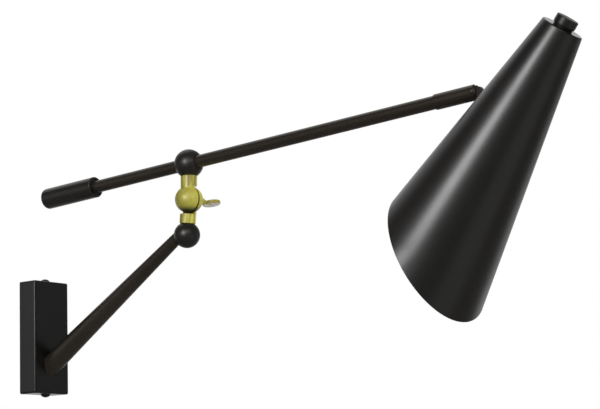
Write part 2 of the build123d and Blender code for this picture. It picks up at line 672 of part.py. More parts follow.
def shade_sleeve():
    """The sleeve that turns on the boom's spigot, slotted at its end into a fork."""
    body = rod(BOOM, SLEEVE_DIAMETER, SLEEVE_START, SLEEVE_END)
    body = chamfer(outer_edge(body, BOOM, SLEEVE_START), SLEEVE_START_EDGE)
    body = chamfer(outer_edge(body, BOOM, SLEEVE_END), SLEEVE_END_EDGE)
    body -= rod(BOOM, SPIGOT_DIAMETER + 2 * RUNNING, SLEEVE_START, SPIGOT_END + SLIDING)
    half_slot = FORK_SLOT_WIDTH / 2
    body -= block(BOOM, (-FAR, FAR), (-half_slot, half_slot), (HINGE_REACH - FORK_SLOT_DEPTH, FAR))
    body -= rod(HINGE, HINGE_PIN_DIAMETER + 2 * SNUG, -SLEEVE_DIAMETER, SLEEVE_DIAMETER)
    return body - rod(DOG, DOG_SCREW_DIAMETER + 2 * SNUG, 0, FAR)


def dog_screw():
    """The screw whose dog runs in the spigot's groove and keeps the sleeve on."""
    groove_floor = SPIGOT_DIAMETER / 2 - GROOVE_DEPTH
    shoulder = SPIGOT_DIAMETER / 2 + PASSING
    end = SLEEVE_DIAMETER / 2 - GRUB_SCREW_SINK
    dog = rod(DOG, DOG_DIAMETER, groove_floor + PASSING, shoulder)
    return dog + rod(DOG, DOG_SCREW_DIAMETER, shoulder, end)


def hinge_pin():
    """The rivet through the fork, with a low dome at each end."""
    half = SLEEVE_DIAMETER / 2
    pin = rod(HINGE, HINGE_PIN_DIAMETER, -half, half)
    back = Plane(origin=HINGE_CENTRE, x_dir=(1, 0, 0), z_dir=(0, -1, 0))
    for frame in (HINGE, back):
        pin += dome(frame, HINGE_PIN_DIAMETER, HINGE_PIN_DOME, half)
    return pin


def lug_screw_frames():
    """Frames of the lug's two screws, on the shade's inner skin, with Z into the shade."""
    places = (LUG_SCREW_SHIFT - LUG_SCREW_PITCH / 2, LUG_SCREW_SHIFT + LUG_SCREW_PITCH / 2)
    inner_skin = LUG_FOOT + LUG.z_dir * (SHADE_WALL + SLIDING)
    return [frame_along(inner_skin + LUG.x_dir * place, LUG.z_dir) for place in places]


def shade_lug():
    """The flat lug on the shade's back, round about the hinge pin and shouldered towards the top."""
    reach = LUG_LENGTH + SHADE_WALL
    head = LUG_HEAD_DIAMETER / 2
    shoulder = Vector(-LUG_SHOULDER, LUG_SHOULDER_HEIGHT)
    tangent = shoulder.normalized().rotate(Axis.Z, degrees(acos(head / shoulder.length))) * head
    flank = Polyline(tangent, shoulder, (-LUG_SHOULDER, reach), (head, reach), (head, 0), close=True)
    outline = make_face(Plane.XZ * flank) + Plane.XZ * Circle(head)
    thickness = FORK_SLOT_WIDTH - 2 * SLIDING
    lug = LUG * extrude(outline, thickness / 2, both=True)
    lug -= shade_cone(0, SHADE_LENGTH, SNUG)
    lug -= rod(HINGE, HINGE_PIN_DIAMETER + 2 * RUNNING, -thickness, thickness)
    for frame in lug_screw_frames():
        lug -= rod(frame, SMALL_SCREW_DIAMETER + 2 * SNUG, -LUG_SCREW_DEPTH - SHADE_WALL - 2 * SLIDING, 0)
    return lug


def lug_screws():
    """The two screws that hold the lug, with their heads inside the shade."""
    length = LUG_SCREW_DEPTH + SHADE_WALL
    return [headed_screw(frame, SMALL_SCREW_DIAMETER, length, SMALL_SCREW_HEAD_DIAMETER,
                         SMALL_SCREW_HEAD_HEIGHT) for frame in lug_screw_frames()]


# Shade

def shade_cone(start, end, grow=0.0):
    """A solid stretch of the shade's cone, with its skin moved out by grow."""
    shift = grow / cos(radians(SHADE_HALF_ANGLE))
    cone = Cone(shade_radius(start) + shift, shade_radius(end) + shift, end - start, align=BASE)
    return SHADE * (Pos(0, 0, start) * cone)


def shade():
    """The spun cone: a flat closed top, straight sides and a mouth cut on the slant."""
    full = SHADE_LENGTH + 2 * shade_radius(SHADE_LENGTH) * tan(radians(MOUTH_SLANT))
    body = shade_cone(0, full)
    body = fillet(outer_edge(body, SHADE, 0), SHADE_TOP_EDGE)
    body -= shade_cone(SHADE_TOP_SHEET, full, -SHADE_WALL)
    slant, turn = radians(MOUTH_SLANT), radians(MOUTH_TURN)
    normal = (sin(slant) * cos(turn), sin(slant) * sin(turn), cos(slant))
    mouth = Plane(origin=(0, 0, SHADE_LENGTH), z_dir=normal)
    beyond = mouth * Box(FAR, FAR, FAR, align=BASE)
    body -= SHADE * beyond
    body -= rod(SHADE, BUSHING_DIAMETER + 2 * SNUG, -OVERCUT, 2 * SHADE_TOP_SHEET)
    for frame in lug_screw_frames():
        body -= rod(frame, SMALL_SCREW_DIAMETER + 2 * SNUG, -SHADE_WALL - PASSING, PASSING)
    return body


# Switch, its button and the lamp holder

HOOP_TOP = SHADE_TOP_SHEET
HOOP_BOTTOM = SHADE_TOP_SHEET + HOOP_HEIGHT
SWITCH_TOP = HOOP_TOP + HOOP_SHEET
HOLDER_TOP = HOOP_BOTTOM
HOLDER_MOUTH = HOLDER_TOP + HOLDER_LENGTH
HOLDER_WELL = HOLDER_TOP + HOLDER_FLOOR
SHELL_OUTER = SHELL_BORE + 2 * SHELL_WALL


def switch_body():
    """The push switch: a round body under the top, with a bushing out through it."""
    body = rod(SHADE, SWITCH_DIAMETER, SWITCH_TOP, SWITCH_TOP + SWITCH_LENGTH)
    body += rod(SHADE, BUSHING_DIAMETER, -BUSHING_RISE, SWITCH_TOP)
    stem_end = BUTTON_STEM_LENGTH - BUTTON_GAP - BUTTON_CUP_DEPTH
    return body - rod(SHADE, BUTTON_STEM_DIAMETER + 2 * RUNNING, -BUSHING_RISE, stem_end + BUTTON_STEM_ROOM)


def switch_nut():
    """The round nut that clamps the switch and the hoop on the shade's top."""
    return ring(SHADE, SWITCH_NUT_DIAMETER, BUSHING_DIAMETER + 2 * SNUG, -SWITCH_NUT_THICKNESS, 0)


def switch_button():
    """The push button on top of the shade: a cap, hollow over the nut, on a stem in the bushing."""
    top = -BUTTON_GAP - BUTTON_HEIGHT
    cup_floor = -BUTTON_GAP - BUTTON_CUP_DEPTH
    cap = rod(SHADE, BUTTON_DIAMETER, top, -BUTTON_GAP)
    cap = fillet(outer_edge(cap, SHADE, top), BUTTON_EDGE)
    cap -= rod(SHADE, BUTTON_CUP_DIAMETER, cup_floor, -BUTTON_GAP)
    return cap + rod(SHADE, BUTTON_STEM_DIAMETER, cup_floor, cup_floor + BUTTON_STEM_LENGTH)


def holder_screw_frames():
    """Frames of the two screws through the hoop's lower web, with Z up into the hoop."""
    web = SHADE.origin + SHADE.z_dir * (HOOP_BOTTOM - HOOP_SHEET)
    places = (-HOLDER_SCREW_SPACING / 2, HOLDER_SCREW_SPACING / 2)
    return [Plane(origin=web + SHADE.x_dir * place, x_dir=(0, 1, 0), z_dir=-SHADE.z_dir) for place in places]


def holder_hoop():
    """The bent strap that hangs the lamp holder under the switch."""
    outer = RectangleRounded(HOOP_SPAN, HOOP_HEIGHT, HOOP_CORNER)
    inner_span, inner_height = HOOP_SPAN - 2 * HOOP_SHEET, HOOP_HEIGHT - 2 * HOOP_SHEET
    inner = RectangleRounded(inner_span, inner_height, HOOP_CORNER - HOOP_SHEET)
    strap = extrude(Plane.XZ * (outer - inner), HOOP_WIDTH / 2, both=True)
    strap = SHADE * (Pos(0, 0, (HOOP_TOP + HOOP_BOTTOM) / 2) * strap)
    strap -= rod(SHADE, BUSHING_DIAMETER + 2 * SNUG, HOOP_TOP - OVERCUT, SWITCH_TOP + SNUG)
    for frame in holder_screw_frames():
        strap -= rod(frame, SMALL_SCREW_DIAMETER + 2 * SNUG, -HOOP_SHEET - SNUG, SNUG)
    return strap


def holder_screws():
    """The two screws that hold the lamp holder on the hoop."""
    return [headed_screw(frame, SMALL_SCREW_DIAMETER, HOLDER_SCREW_LENGTH, SMALL_SCREW_HEAD_DIAMETER,
                         SMALL_SCREW_HEAD_HEIGHT) for frame in holder_screw_frames()]


def lamp_holder():
    """The ceramic lamp holder, with a well for the screw shell."""
    body = rod(SHADE, HOLDER_DIAMETER, HOLDER_TOP, HOLDER_MOUTH)
    for place in (HOLDER_TOP, HOLDER_MOUTH):
        body = fillet(outer_edge(body, SHADE, place), HOLDER_EDGE)
    body -= rod(SHADE, SHELL_OUTER + 2 * SNUG, HOLDER_WELL, HOLDER_MOUTH)
    for frame in holder_screw_frames():
        body -= rod(frame, SMALL_SCREW_DIAMETER + 2 * SNUG, -HOLDER_SCREW_LENGTH - SLIDING, 0)
    return body


def screw_shell():
    """The brass shell that a lamp screws into."""
    end = HOLDER_MOUTH - SHELL_MARGIN
    return ring(SHADE, SHELL_OUTER, SHELL_BORE, end - SHELL_LENGTH, end)


def centre_contact():
    """The contact on the floor of the lamp holder's well."""
    return rod(SHADE, CONTACT_DIAMETER, HOLDER_WELL, HOLDER_WELL + CONTACT_HEIGHT)


PIECES = [wall_bracket, wall_cover, cover_screws, cable_grommet, terminal_block, terminal_screw, ground_screw,
          lower_arm, arm_washer, arm_lock_nut, lower_ball, ball_plug, thrust_washer, stem_washer, stem_nut,
          lower_knuckle, friction_washer, upper_knuckle, thumb_screw, upper_ball, ball_grub_screw, boom_tube,
          counterweight, weight_grub_screw, shade_sleeve, dog_screw, hinge_pin, shade_lug, lug_screws, shade,
          switch_body, switch_nut, switch_button, holder_hoop, holder_screws, lamp_holder, screw_shell,
          centre_contact]

os.makedirs("parts", exist_ok=True)
for piece in PIECES:
    made = piece()
    if isinstance(made, list):
        made = Compound(children=made)
    export_step(made, f"parts/{piece.__name__}.step")
print(len(PIECES), "nodes written")
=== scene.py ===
# %% [markdown]
# # A swing arm wall lamp in satin black and brass
# The lamp hangs on the wall by a square cover. A fixed arm carries a brass friction knuckle between
# two black balls, a counterweighted boom rides on it, and a slant-cut cone shade hangs at the boom's end.
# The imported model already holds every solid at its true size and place, in metres. It is loaded first,
# as a fixed frame, and this lesson dresses it: a camera, finishes, recessed screws, a rolled thread, a
# turned button and light.

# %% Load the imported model
import json
import math

import bmesh
import bpy
from mathutils import Matrix, Vector


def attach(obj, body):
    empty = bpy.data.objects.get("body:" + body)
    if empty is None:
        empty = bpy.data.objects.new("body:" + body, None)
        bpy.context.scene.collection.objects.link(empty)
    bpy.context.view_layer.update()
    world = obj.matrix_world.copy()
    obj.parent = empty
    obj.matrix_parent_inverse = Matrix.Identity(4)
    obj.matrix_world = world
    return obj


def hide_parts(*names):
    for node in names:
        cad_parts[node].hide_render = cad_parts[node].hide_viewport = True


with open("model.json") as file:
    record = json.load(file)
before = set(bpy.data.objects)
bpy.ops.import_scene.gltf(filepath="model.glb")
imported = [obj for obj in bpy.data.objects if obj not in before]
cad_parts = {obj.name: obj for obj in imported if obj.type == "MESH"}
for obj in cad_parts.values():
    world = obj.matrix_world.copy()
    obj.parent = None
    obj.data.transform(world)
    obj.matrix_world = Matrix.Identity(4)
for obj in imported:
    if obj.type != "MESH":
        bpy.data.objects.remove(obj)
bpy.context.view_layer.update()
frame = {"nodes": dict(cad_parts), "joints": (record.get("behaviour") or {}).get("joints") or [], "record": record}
nodes = frame["nodes"]
joints = {joint["name"]: joint for joint in frame["joints"]}
mounts = {mount["name"]: mount for mount in frame["record"]["mounts"]}

# %% [markdown]
# ## The camera
# A product photographer stood to the lamp's front left and a little below it, with a long lens. The lens
# keeps the arm and the boom from spreading apart, as a short one would make them do. A camera's own axes
# are its right, its up and its back, so writing those three as columns of a matrix aims it with no
# constraint and no guessing at Euler angles. The slight roll is the photographer's tripod.

# %% Place the camera
CAMERA_PLACE = Vector((1.522219, -1.496133, -0.205533))
CAMERA_AZIMUTH = math.radians(37.772)
CAMERA_ELEVATION = math.radians(-9.250)
CAMERA_ROLL = math.radians(-1.522)
LENS_MM = 118.35
SENSOR_MM = 36.0

flat_back = Vector((math.sin(CAMERA_AZIMUTH), -math.cos(CAMERA_AZIMUTH), 0))
camera_back = flat_back * math.cos(CAMERA_ELEVATION) + Vector((0, 0, math.sin(CAMERA_ELEVATION)))
level_right = Vector((math.cos(CAMERA_AZIMUTH), math.sin(CAMERA_AZIMUTH), 0))
level_up = camera_back.cross(level_right)
camera_right = level_right * math.cos(CAMERA_ROLL) + level_up * math.sin(CAMERA_ROLL)
camera_up = level_up * math.cos(CAMERA_ROLL) - level_right * math.sin(CAMERA_ROLL)


def axes_matrix(right, up, back):
    """A turn whose three axes are given."""
    return Matrix((right, up, back)).transposed().to_4x4()


def add_object(name, data):
    """A new object in the scene that holds a mesh, a lamp or a camera."""
    made = bpy.data.objects.new(name, data)
    bpy.context.scene.collection.objects.link(made)
    return made


lens = bpy.data.cameras.new("photo_camera")
lens.lens = LENS_MM
lens.sensor_width = SENSOR_MM
camera = add_object("photo_camera", lens)
camera.matrix_world = Matrix.Translation(CAMERA_PLACE) @ axes_matrix(camera_right, camera_up, camera_back)
bpy.context.scene.camera = camera
print("camera stands", round(CAMERA_PLACE.length, 3), "metres from the wall fixing")

# %% [markdown]
# ## Where things are
# A finish that follows a shape has to know where that shape lies. The joints and mounts of the packed
# model say it: the knuckle turns about its ball's centre, the shade's sleeve turns about the boom's line,
# and the socket lies on the shade's axis. The shade's cone is then known from four of its own sizes.

# %% Places that the finishes follow
SOCKET_BELOW_TOP = 0.060
SHADE_TOP_RADIUS = 0.01985
SHADE_HALF_ANGLE = math.radians(9.68)
SHADE_WALL = 0.0012

stem_axis = Vector(joints["boom_swing"]["axis"])
thumb_axis = Vector(joints["thumb_turn"]["axis"])
knuckle_centre = Vector(joints["boom_tilt"]["pos_m"])
shade_axis = Vector(mounts["lamp_socket"]["axis"])
shade_side = Vector((0, 1, 0)).cross(shade_axis)
shade_top = Vector(mounts["lamp_socket"]["pos_m"]) - shade_axis * SOCKET_BELOW_TOP
lug_inward = shade_axis * math.sin(SHADE_HALF_ANGLE) - shade_side * math.cos(SHADE_HALF_ANGLE)
boom_place = Vector(joints["shade_swivel"]["pos_m"])
boom_axis = Vector(joints["shade_swivel"]["axis"])
print("the shade's top is at", [round(value, 4) for value in shade_top])

# %% [markdown]
# ## Words for building finishes
# Every finish here is a small node tree on Object coordinates, so a pattern stays with its piece and has
# a size in metres. A few short functions keep the trees readable: one starts a material, one types a value
# into a socket or links an output to it, and the rest name a pattern or a step that is used many times.

# %% Start a material and fill its sockets
def start_finish(name):
    """A new material with an output and a shader, and nothing else."""
    finish = bpy.data.materials.new(name)
    finish.use_nodes = True
    tree = finish.node_tree
    tree.nodes.clear()
    output = tree.nodes.new("ShaderNodeOutputMaterial")
    shader = tree.nodes.new("ShaderNodeBsdfPrincipled")
    tree.links.new(shader.outputs["BSDF"], output.inputs["Surface"])
    return finish, tree, shader


def plug(tree, socket, value):
    """Links an output to a socket, or types a value into it."""
    if isinstance(value, bpy.types.NodeSocket):
        tree.links.new(value, socket)
    else:
        socket.default_value = value


def place_on(tree, centre=(0, 0, 0), turn=(0, 0, 0), cell=(1, 1, 1)):
    """Object coordinates, centred on a piece, turned with it, and counted in cells of a given size."""
    coordinates = tree.nodes.new("ShaderNodeTexCoord")
    mapping = tree.nodes.new("ShaderNodeMapping")
    mapping.vector_type = "TEXTURE"
    tree.links.new(coordinates.outputs["Object"], mapping.inputs["Vector"])
    mapping.inputs["Location"].default_value = centre
    mapping.inputs["Rotation"].default_value = turn
    mapping.inputs["Scale"].default_value = cell
    return mapping.outputs["Vector"]


# %% Steps of arithmetic
def remap(tree, value, start, end, low, high):
    """Carries a value from one range to another and stops at its ends."""
    made = tree.nodes.new("ShaderNodeMapRange")
    plug(tree, made.inputs["Value"], value)
    for name, number in (("From Min", start), ("From Max", end), ("To Min", low), ("To Max", high)):
        made.inputs[name].default_value = number
    return made.outputs["Result"]


def arithmetic(tree, operation, first, second=0.0, third=0.0):
    """One step of arithmetic on up to three values."""
    made = tree.nodes.new("ShaderNodeMath")
    made.operation = operation
    plug(tree, made.inputs[0], first)
    plug(tree, made.inputs[1], second)
    plug(tree, made.inputs[2], third)
    return made.outputs["Value"]


def vector_step(tree, operation, first, second=(0, 0, 0)):
    """One step of vector arithmetic: a number for a dot product or a length, and else a vector."""
    made = tree.nodes.new("ShaderNodeVectorMath")
    made.operation = operation
    plug(tree, made.inputs[0], first)
    plug(tree, made.inputs[1], second)
    return made.outputs["Value" if operation in ("DOT_PRODUCT", "LENGTH") else "Vector"]


# %% Colours, patterns and edges
# A Mix node carries the sockets of all its data types at once, and these are the ones for colours.
MIX_FIRST = 6
MIX_SECOND = 7
MIX_RESULT = 2
EDGE_RADIUS = 0.0007
EDGE_RAYS = 4
FLAT_LIKENESS = 0.99
EDGE_LIKENESS = 0.82


def grey(value, warmth=0.0):
    """A grey with a little red added and blue taken off."""
    return (value * (1 + warmth), value, value * (1 - warmth), 1.0)


def mix_colour(tree, share, first, second):
    """One colour going over to another as share rises from nought to one."""
    made = tree.nodes.new("ShaderNodeMix")
    made.data_type = "RGBA"
    plug(tree, made.inputs[0], share)
    plug(tree, made.inputs[MIX_FIRST], first)
    plug(tree, made.inputs[MIX_SECOND], second)
    return made.outputs[MIX_RESULT]


def noise(tree, place, scale, detail):
    """A cloudy pattern about a half, with so many cells to the unit."""
    made = tree.nodes.new("ShaderNodeTexNoise")
    plug(tree, made.inputs["Vector"], place)
    made.inputs["Scale"].default_value = scale
    made.inputs["Detail"].default_value = detail
    return made.outputs["Fac"]


def raise_surface(tree, shader, height, depth):
    """Bumps a shader's surface by a pattern, to a depth in metres."""
    made = tree.nodes.new("ShaderNodeBump")
    made.inputs["Distance"].default_value = depth
    plug(tree, made.inputs["Height"], height)
    tree.links.new(made.outputs["Normal"], shader.inputs["Normal"])


def rubbed_edges(tree, share):
    """A share on sharp edges and nought on flats, by rounding the normal and comparing the two."""
    rounded = tree.nodes.new("ShaderNodeBevel")
    rounded.samples = EDGE_RAYS
    rounded.inputs["Radius"].default_value = EDGE_RADIUS
    flat = tree.nodes.new("ShaderNodeNewGeometry")
    likeness = vector_step(tree, "DOT_PRODUCT", rounded.outputs["Normal"], flat.outputs["Normal"])
    return remap(tree, likeness, FLAT_LIKENESS, EDGE_LIKENESS, 0.0, share)


# %% [markdown]
# ## Satin black powder coat
# Powder is sprayed on dry and baked until it flows. It leaves a skin with a faint orange peel, a drift
# in gloss where it lies thicker, and a thin, rubbed line along sharp edges. A flat black would hide all
# of that. Here one noise drifts the colour and the gloss over some centimetres, a finer one gives the
# peel as bump, and the edge finder lightens and polishes the corners a little. The coat's own gleam is
# tinted a little warm on the tubes and less so on the balls. Where the boom leaves its ball, the bore is
# a hair wider than the tube, and the shade in that gap is painted on the ball as a dull black ring about
# the boom's line.

# %% What the black coat is made of
DRIFT_CELLS = 16
DRIFT_RANGE = (0.35, 0.65)
THICK_TONE = 0.86
THIN_TONE = 1.16
THIN_WARMTH = 0.6
RUBBED_TONE = 3.2
RUBBED_SHARE = 0.45
GLOSS_DRIFT = 0.03
RUBBED_GLOSS = 0.12
PEEL_CELLS = 900
GRAIN_CELLS = 4200
PEEL_DEPTH = 0.000006


def coat_colour(tree, place, base, warmth):
    """The coat's colour, and the drift and the rubbed edges that it follows."""
    drift = remap(tree, noise(tree, place, DRIFT_CELLS, 3.0), *DRIFT_RANGE, 0.0, 1.0)
    rub = rubbed_edges(tree, RUBBED_SHARE)
    thin = grey(base * THIN_TONE, warmth * THIN_WARMTH)
    body = mix_colour(tree, drift, grey(base * THICK_TONE, warmth), thin)
    return mix_colour(tree, rub, body, grey(base * RUBBED_TONE, warmth)), drift, rub


def coat_gloss(tree, drift, rub, gloss):
    """The coat's roughness, drifting with its thickness and polished where it is rubbed."""
    uneven = arithmetic(tree, "MULTIPLY_ADD", drift, GLOSS_DRIFT, gloss - GLOSS_DRIFT / 2)
    return arithmetic(tree, "SUBTRACT", uneven, arithmetic(tree, "MULTIPLY", rub, RUBBED_GLOSS))


def coat_peel(tree, place):
    """The coat's orange peel, with a finer grain on it."""
    grain = noise(tree, place, GRAIN_CELLS, 1.0)
    return arithmetic(tree, "ADD", noise(tree, place, PEEL_CELLS, 2.0), grain)


# %% Mix the black coats
GAP_RADIUS = 0.0071
GAP_FADE = 0.0006
GAP_DULLNESS = 0.5


def painted_gap_shade(tree):
    """Painted gap shade: one on the rim of the bore that the boom runs through, and nought away from it."""
    off_line = vector_step(tree, "CROSS_PRODUCT", place_on(tree, boom_place), tuple(boom_axis))
    return remap(tree, vector_step(tree, "LENGTH", off_line), GAP_RADIUS, GAP_RADIUS + GAP_FADE, 1.0, 0.0)


def black_coat(name, base, warmth, gloss, tint, painted_bore_shade=False):
    """Satin black powder coat: drift, peel, rubbed edges and, if asked, painted shade in the boom's gap."""
    finish, tree, shader = start_finish(name)
    place = place_on(tree)
    colour, drift, rub = coat_colour(tree, place, base, warmth)
    rough = coat_gloss(tree, drift, rub, gloss)
    if painted_bore_shade:
        # Painted shade: a dull black ring round the boom's line stands for the shade in the gap.
        gap = painted_gap_shade(tree)
        colour = mix_colour(tree, gap, colour, grey(0.0))
        rough = arithmetic(tree, "MULTIPLY_ADD", gap, GAP_DULLNESS, rough)
    plug(tree, shader.inputs["Base Color"], colour)
    plug(tree, shader.inputs["Roughness"], rough)
    shader.inputs["Specular Tint"].default_value = (*tint, 1.0)
    raise_surface(tree, shader, coat_peel(tree, place), PEEL_DEPTH)
    return finish


BLACK_COATS = {
    "tube_coat": dict(base=0.0180, warmth=0.24, gloss=0.38, tint=(1.0, 0.85, 0.72)),
    "lower_ball_coat": dict(base=0.0100, warmth=0.05, gloss=0.39, tint=(1.0, 0.98, 0.95)),
    # The upper ball also gets the painted shade ring where the boom leaves it.
    "upper_ball_coat": dict(base=0.0100, warmth=0.16, gloss=0.39, tint=(1.0, 0.92, 0.94), painted_bore_shade=True),
    "cover_coat": dict(base=0.0030, warmth=0.0, gloss=0.30, tint=(1.0, 1.0, 1.0)),
    "weight_coat": dict(base=0.0100, warmth=0.06, gloss=0.36, tint=(1.0, 0.97, 0.94)),
    "button_coat": dict(base=0.0090, warmth=0.0, gloss=0.41, tint=(0.7, 0.7, 0.68)),
    # A near black, dull coat that is painted shade: the button's lip and the switch nut stand for the dark gap
    # under the cap.
    "gap_shade_black": dict(base=0.0020, warmth=0.0, gloss=0.60, tint=(0.4, 0.4, 0.4)),
}
coats = {name: black_coat(name, **look) for name, look in BLACK_COATS.items()}
print("black coats made:", list(coats))

# %% [markdown]
# ## The shade, black outside and white inside
# The shade is one spun shell, coated black outside and white inside, where it has to throw light. Both
# colours sit on one solid, so a second material can't tell them apart, but a mask can: a point's depth
# under the cone's outer skin is plain geometry in the shade's own frame. The wall is 1.2 mm thick, so
# what lies deeper than most of that, and below the flat top, is inside. The flat top took the powder
# evenly, so it is glossier than the spun side and mirrors the button. A thin second coat, rougher than
# the first, gives the haze that surrounds the streak of light on the side.

# %% The shade's two coats
INSIDE_DEPTH = 0.75 * SHADE_WALL
INSIDE_BELOW_TOP = 0.0007
MASK_STEP = 0.0001
ENAMEL_DARK = (0.78, 0.77, 0.73, 1.0)
ENAMEL_LIGHT = (0.83, 0.82, 0.79, 1.0)
SPIN_PITCH = 0.0016
SPIN_SHARE = 0.03
TOP_POLISH = 0.12
HAZE_WEIGHT = 0.20
HAZE_GLOSS = 0.55


def shade_places(tree):
    """A point's distance below the shade's top and its depth under the outer skin, in metres."""
    offset = place_on(tree, shade_top)
    below = vector_step(tree, "DOT_PRODUCT", offset, tuple(shade_axis))
    radius = vector_step(tree, "LENGTH", vector_step(tree, "CROSS_PRODUCT", offset, tuple(shade_axis)))
    skin = arithmetic(tree, "MULTIPLY_ADD", below, math.tan(SHADE_HALF_ANGLE), SHADE_TOP_RADIUS)
    gap = arithmetic(tree, "SUBTRACT", skin, radius)
    return below, arithmetic(tree, "MULTIPLY", gap, math.cos(SHADE_HALF_ANGLE))


def two_coat_shade(name, base, warmth, gloss):
    """Black coat outside and white enamel inside, with the faint rings of spinning under both."""
    finish, tree, shader = start_finish(name)
    place = place_on(tree)
    below, depth = shade_places(tree)
    deep = remap(tree, depth, INSIDE_DEPTH, INSIDE_DEPTH + MASK_STEP, 0.0, 1.0)
    under = remap(tree, below, INSIDE_BELOW_TOP, INSIDE_BELOW_TOP + MASK_STEP, 0.0, 1.0)
    inside = arithmetic(tree, "MULTIPLY", deep, under)
    black, drift, rub = coat_colour(tree, place, base, warmth)
    white = mix_colour(tree, drift, ENAMEL_DARK, ENAMEL_LIGHT)
    plug(tree, shader.inputs["Base Color"], mix_colour(tree, inside, black, white))
    on_top = remap(tree, below, 2 * MASK_STEP, 4 * MASK_STEP, 1.0, 0.0)
    satin = coat_gloss(tree, drift, rub, gloss)
    plug(tree, shader.inputs["Roughness"], arithmetic(tree, "MULTIPLY_ADD", on_top, -TOP_POLISH, satin))
    shader.inputs["Coat Weight"].default_value = HAZE_WEIGHT
    shader.inputs["Coat Roughness"].default_value = HAZE_GLOSS
    rings = arithmetic(tree, "SINE", arithmetic(tree, "MULTIPLY", below, 2 * math.pi / SPIN_PITCH))
    height = arithmetic(tree, "MULTIPLY_ADD", rings, SPIN_SHARE, coat_peel(tree, place))
    raise_surface(tree, shader, height, PEEL_DEPTH)
    return finish


shade_coat = two_coat_shade("shade_coat", base=0.0020, warmth=0.50, gloss=0.34)
print("shade coat made:", shade_coat.name)

# %% [markdown]
# ## Satin brass
# The knuckle is turned from brass bar, brushed and lacquered, not polished. The brush leaves lines along
# each collar, which pull its highlights into upright bands, and the half balls are only satin. Two noises,
# drawn out long along the collars, give broad bands and fine lines, and they fade out on the balls. So dull
# a brass scatters light more than it mirrors it, so the metal share is small, and a coat over it is the
# lacquer with its soft whitish gleam. Where the halves close on each other, little light gets in, and that
# shade is painted into the colour: the flat faces and the ball's underside are painted darker. The thumb
# screw is darker from handling, and the underside of its paddle is painted pale, a painted reflection of
# the bright room below it.

# %% Brush lines
BALL_REACH = 0.01475
COLLAR_REACH = BALL_REACH * 1.05
BRUSH_ON_BALL = 0.12
BAND_WIDTH = 0.0022
BRUSH_WIDTH = 0.0006
BRUSH_LENGTH = 0.03


def brush_lines(tree, axis, from_centre):
    """Broad bands and fine lines along an axis, about nought, faint on the ball."""
    turn = tuple(axis.to_track_quat("Z", "Y").to_euler())
    fine_cell = (BRUSH_WIDTH, BRUSH_WIDTH, BRUSH_LENGTH)
    broad_cell = (BAND_WIDTH, BAND_WIDTH, BRUSH_LENGTH)
    fine = noise(tree, place_on(tree, knuckle_centre, turn, fine_cell), 1.0, 2.0)
    broad = noise(tree, place_on(tree, knuckle_centre, turn, broad_cell), 1.0, 0.0)
    both = arithmetic(tree, "MULTIPLY_ADD", arithmetic(tree, "ADD", fine, broad), 0.5, -0.5)
    on_collar = remap(tree, from_centre, BALL_REACH, COLLAR_REACH, BRUSH_ON_BALL, 1.0)
    return arithmetic(tree, "MULTIPLY", both, on_collar)


# %% Painted shade where the halves close
SEAM_REACH = 0.00108
UNDERSIDE_EDGE = (0.50, 0.82)
UNDERSIDE_PAINTED_SHADE = 0.97
SEAM_TURN = (-0.5, 0.5)
BALL_SEAM_PAINTED_SHADE = (0.30, 0.80)
COLLAR_SEAM_PAINTED_SHADE = (0.62, 0.32)


def painted_shade_places(tree, offset, from_centre):
    """Painted shade: near one on the ball's underside and toward it on the flat faces between the halves."""
    outward = vector_step(tree, "NORMALIZE", offset)
    downward = vector_step(tree, "DOT_PRODUCT", outward, tuple(-stem_axis))
    on_ball = remap(tree, from_centre, BALL_REACH, BALL_REACH + MASK_STEP, 1.0, 0.0)
    lowest = remap(tree, downward, *UNDERSIDE_EDGE, 0.0, UNDERSIDE_PAINTED_SHADE)
    underside = arithmetic(tree, "MULTIPLY", lowest, on_ball)
    seam = arithmetic(tree, "ABSOLUTE", vector_step(tree, "DOT_PRODUCT", offset, tuple(thumb_axis)))
    flats = remap(tree, seam, SEAM_REACH, SEAM_REACH + MASK_STEP, 1.0, 0.0)
    on_ball_seam = arithmetic(tree, "MULTIPLY", on_ball, remap(tree, downward, *SEAM_TURN, *BALL_SEAM_PAINTED_SHADE))
    collar_seam = remap(tree, downward, *SEAM_TURN, *COLLAR_SEAM_PAINTED_SHADE)
    off_ball_seam = arithmetic(tree, "MULTIPLY_ADD", on_ball, -1.0, collar_seam)
    either_seam = arithmetic(tree, "MAXIMUM", on_ball_seam, off_ball_seam)
    return arithmetic(tree, "MAXIMUM", underside, arithmetic(tree, "MULTIPLY", flats, either_seam))


# %% The brass
BRASS_DARK = (0.26, 0.190, 0.008, 1.0)
BRASS_LIGHT = (0.80, 0.765, 0.105, 1.0)
BRASS_PAINTED_REFLECTION = (0.95, 0.92, 0.78, 1.0)
BRASS_PAINTED_SHADE = (0.004, 0.003, 0.001, 1.0)
CLOUD_CELLS = 260
CLOUD_RANGE = (0.3, 0.7)
CLOUD_SHARE = (0.43, 0.57)
BRASS_RUB = 0.5
REFLECTION_DOWN_EDGE = (0.75, 0.95)
BRUSH_ROUGHNESS = 0.25
BRUSH_DEPTH = 0.00002
METAL_SHARE = 0.15
LACQUER_WEIGHT = 0.6


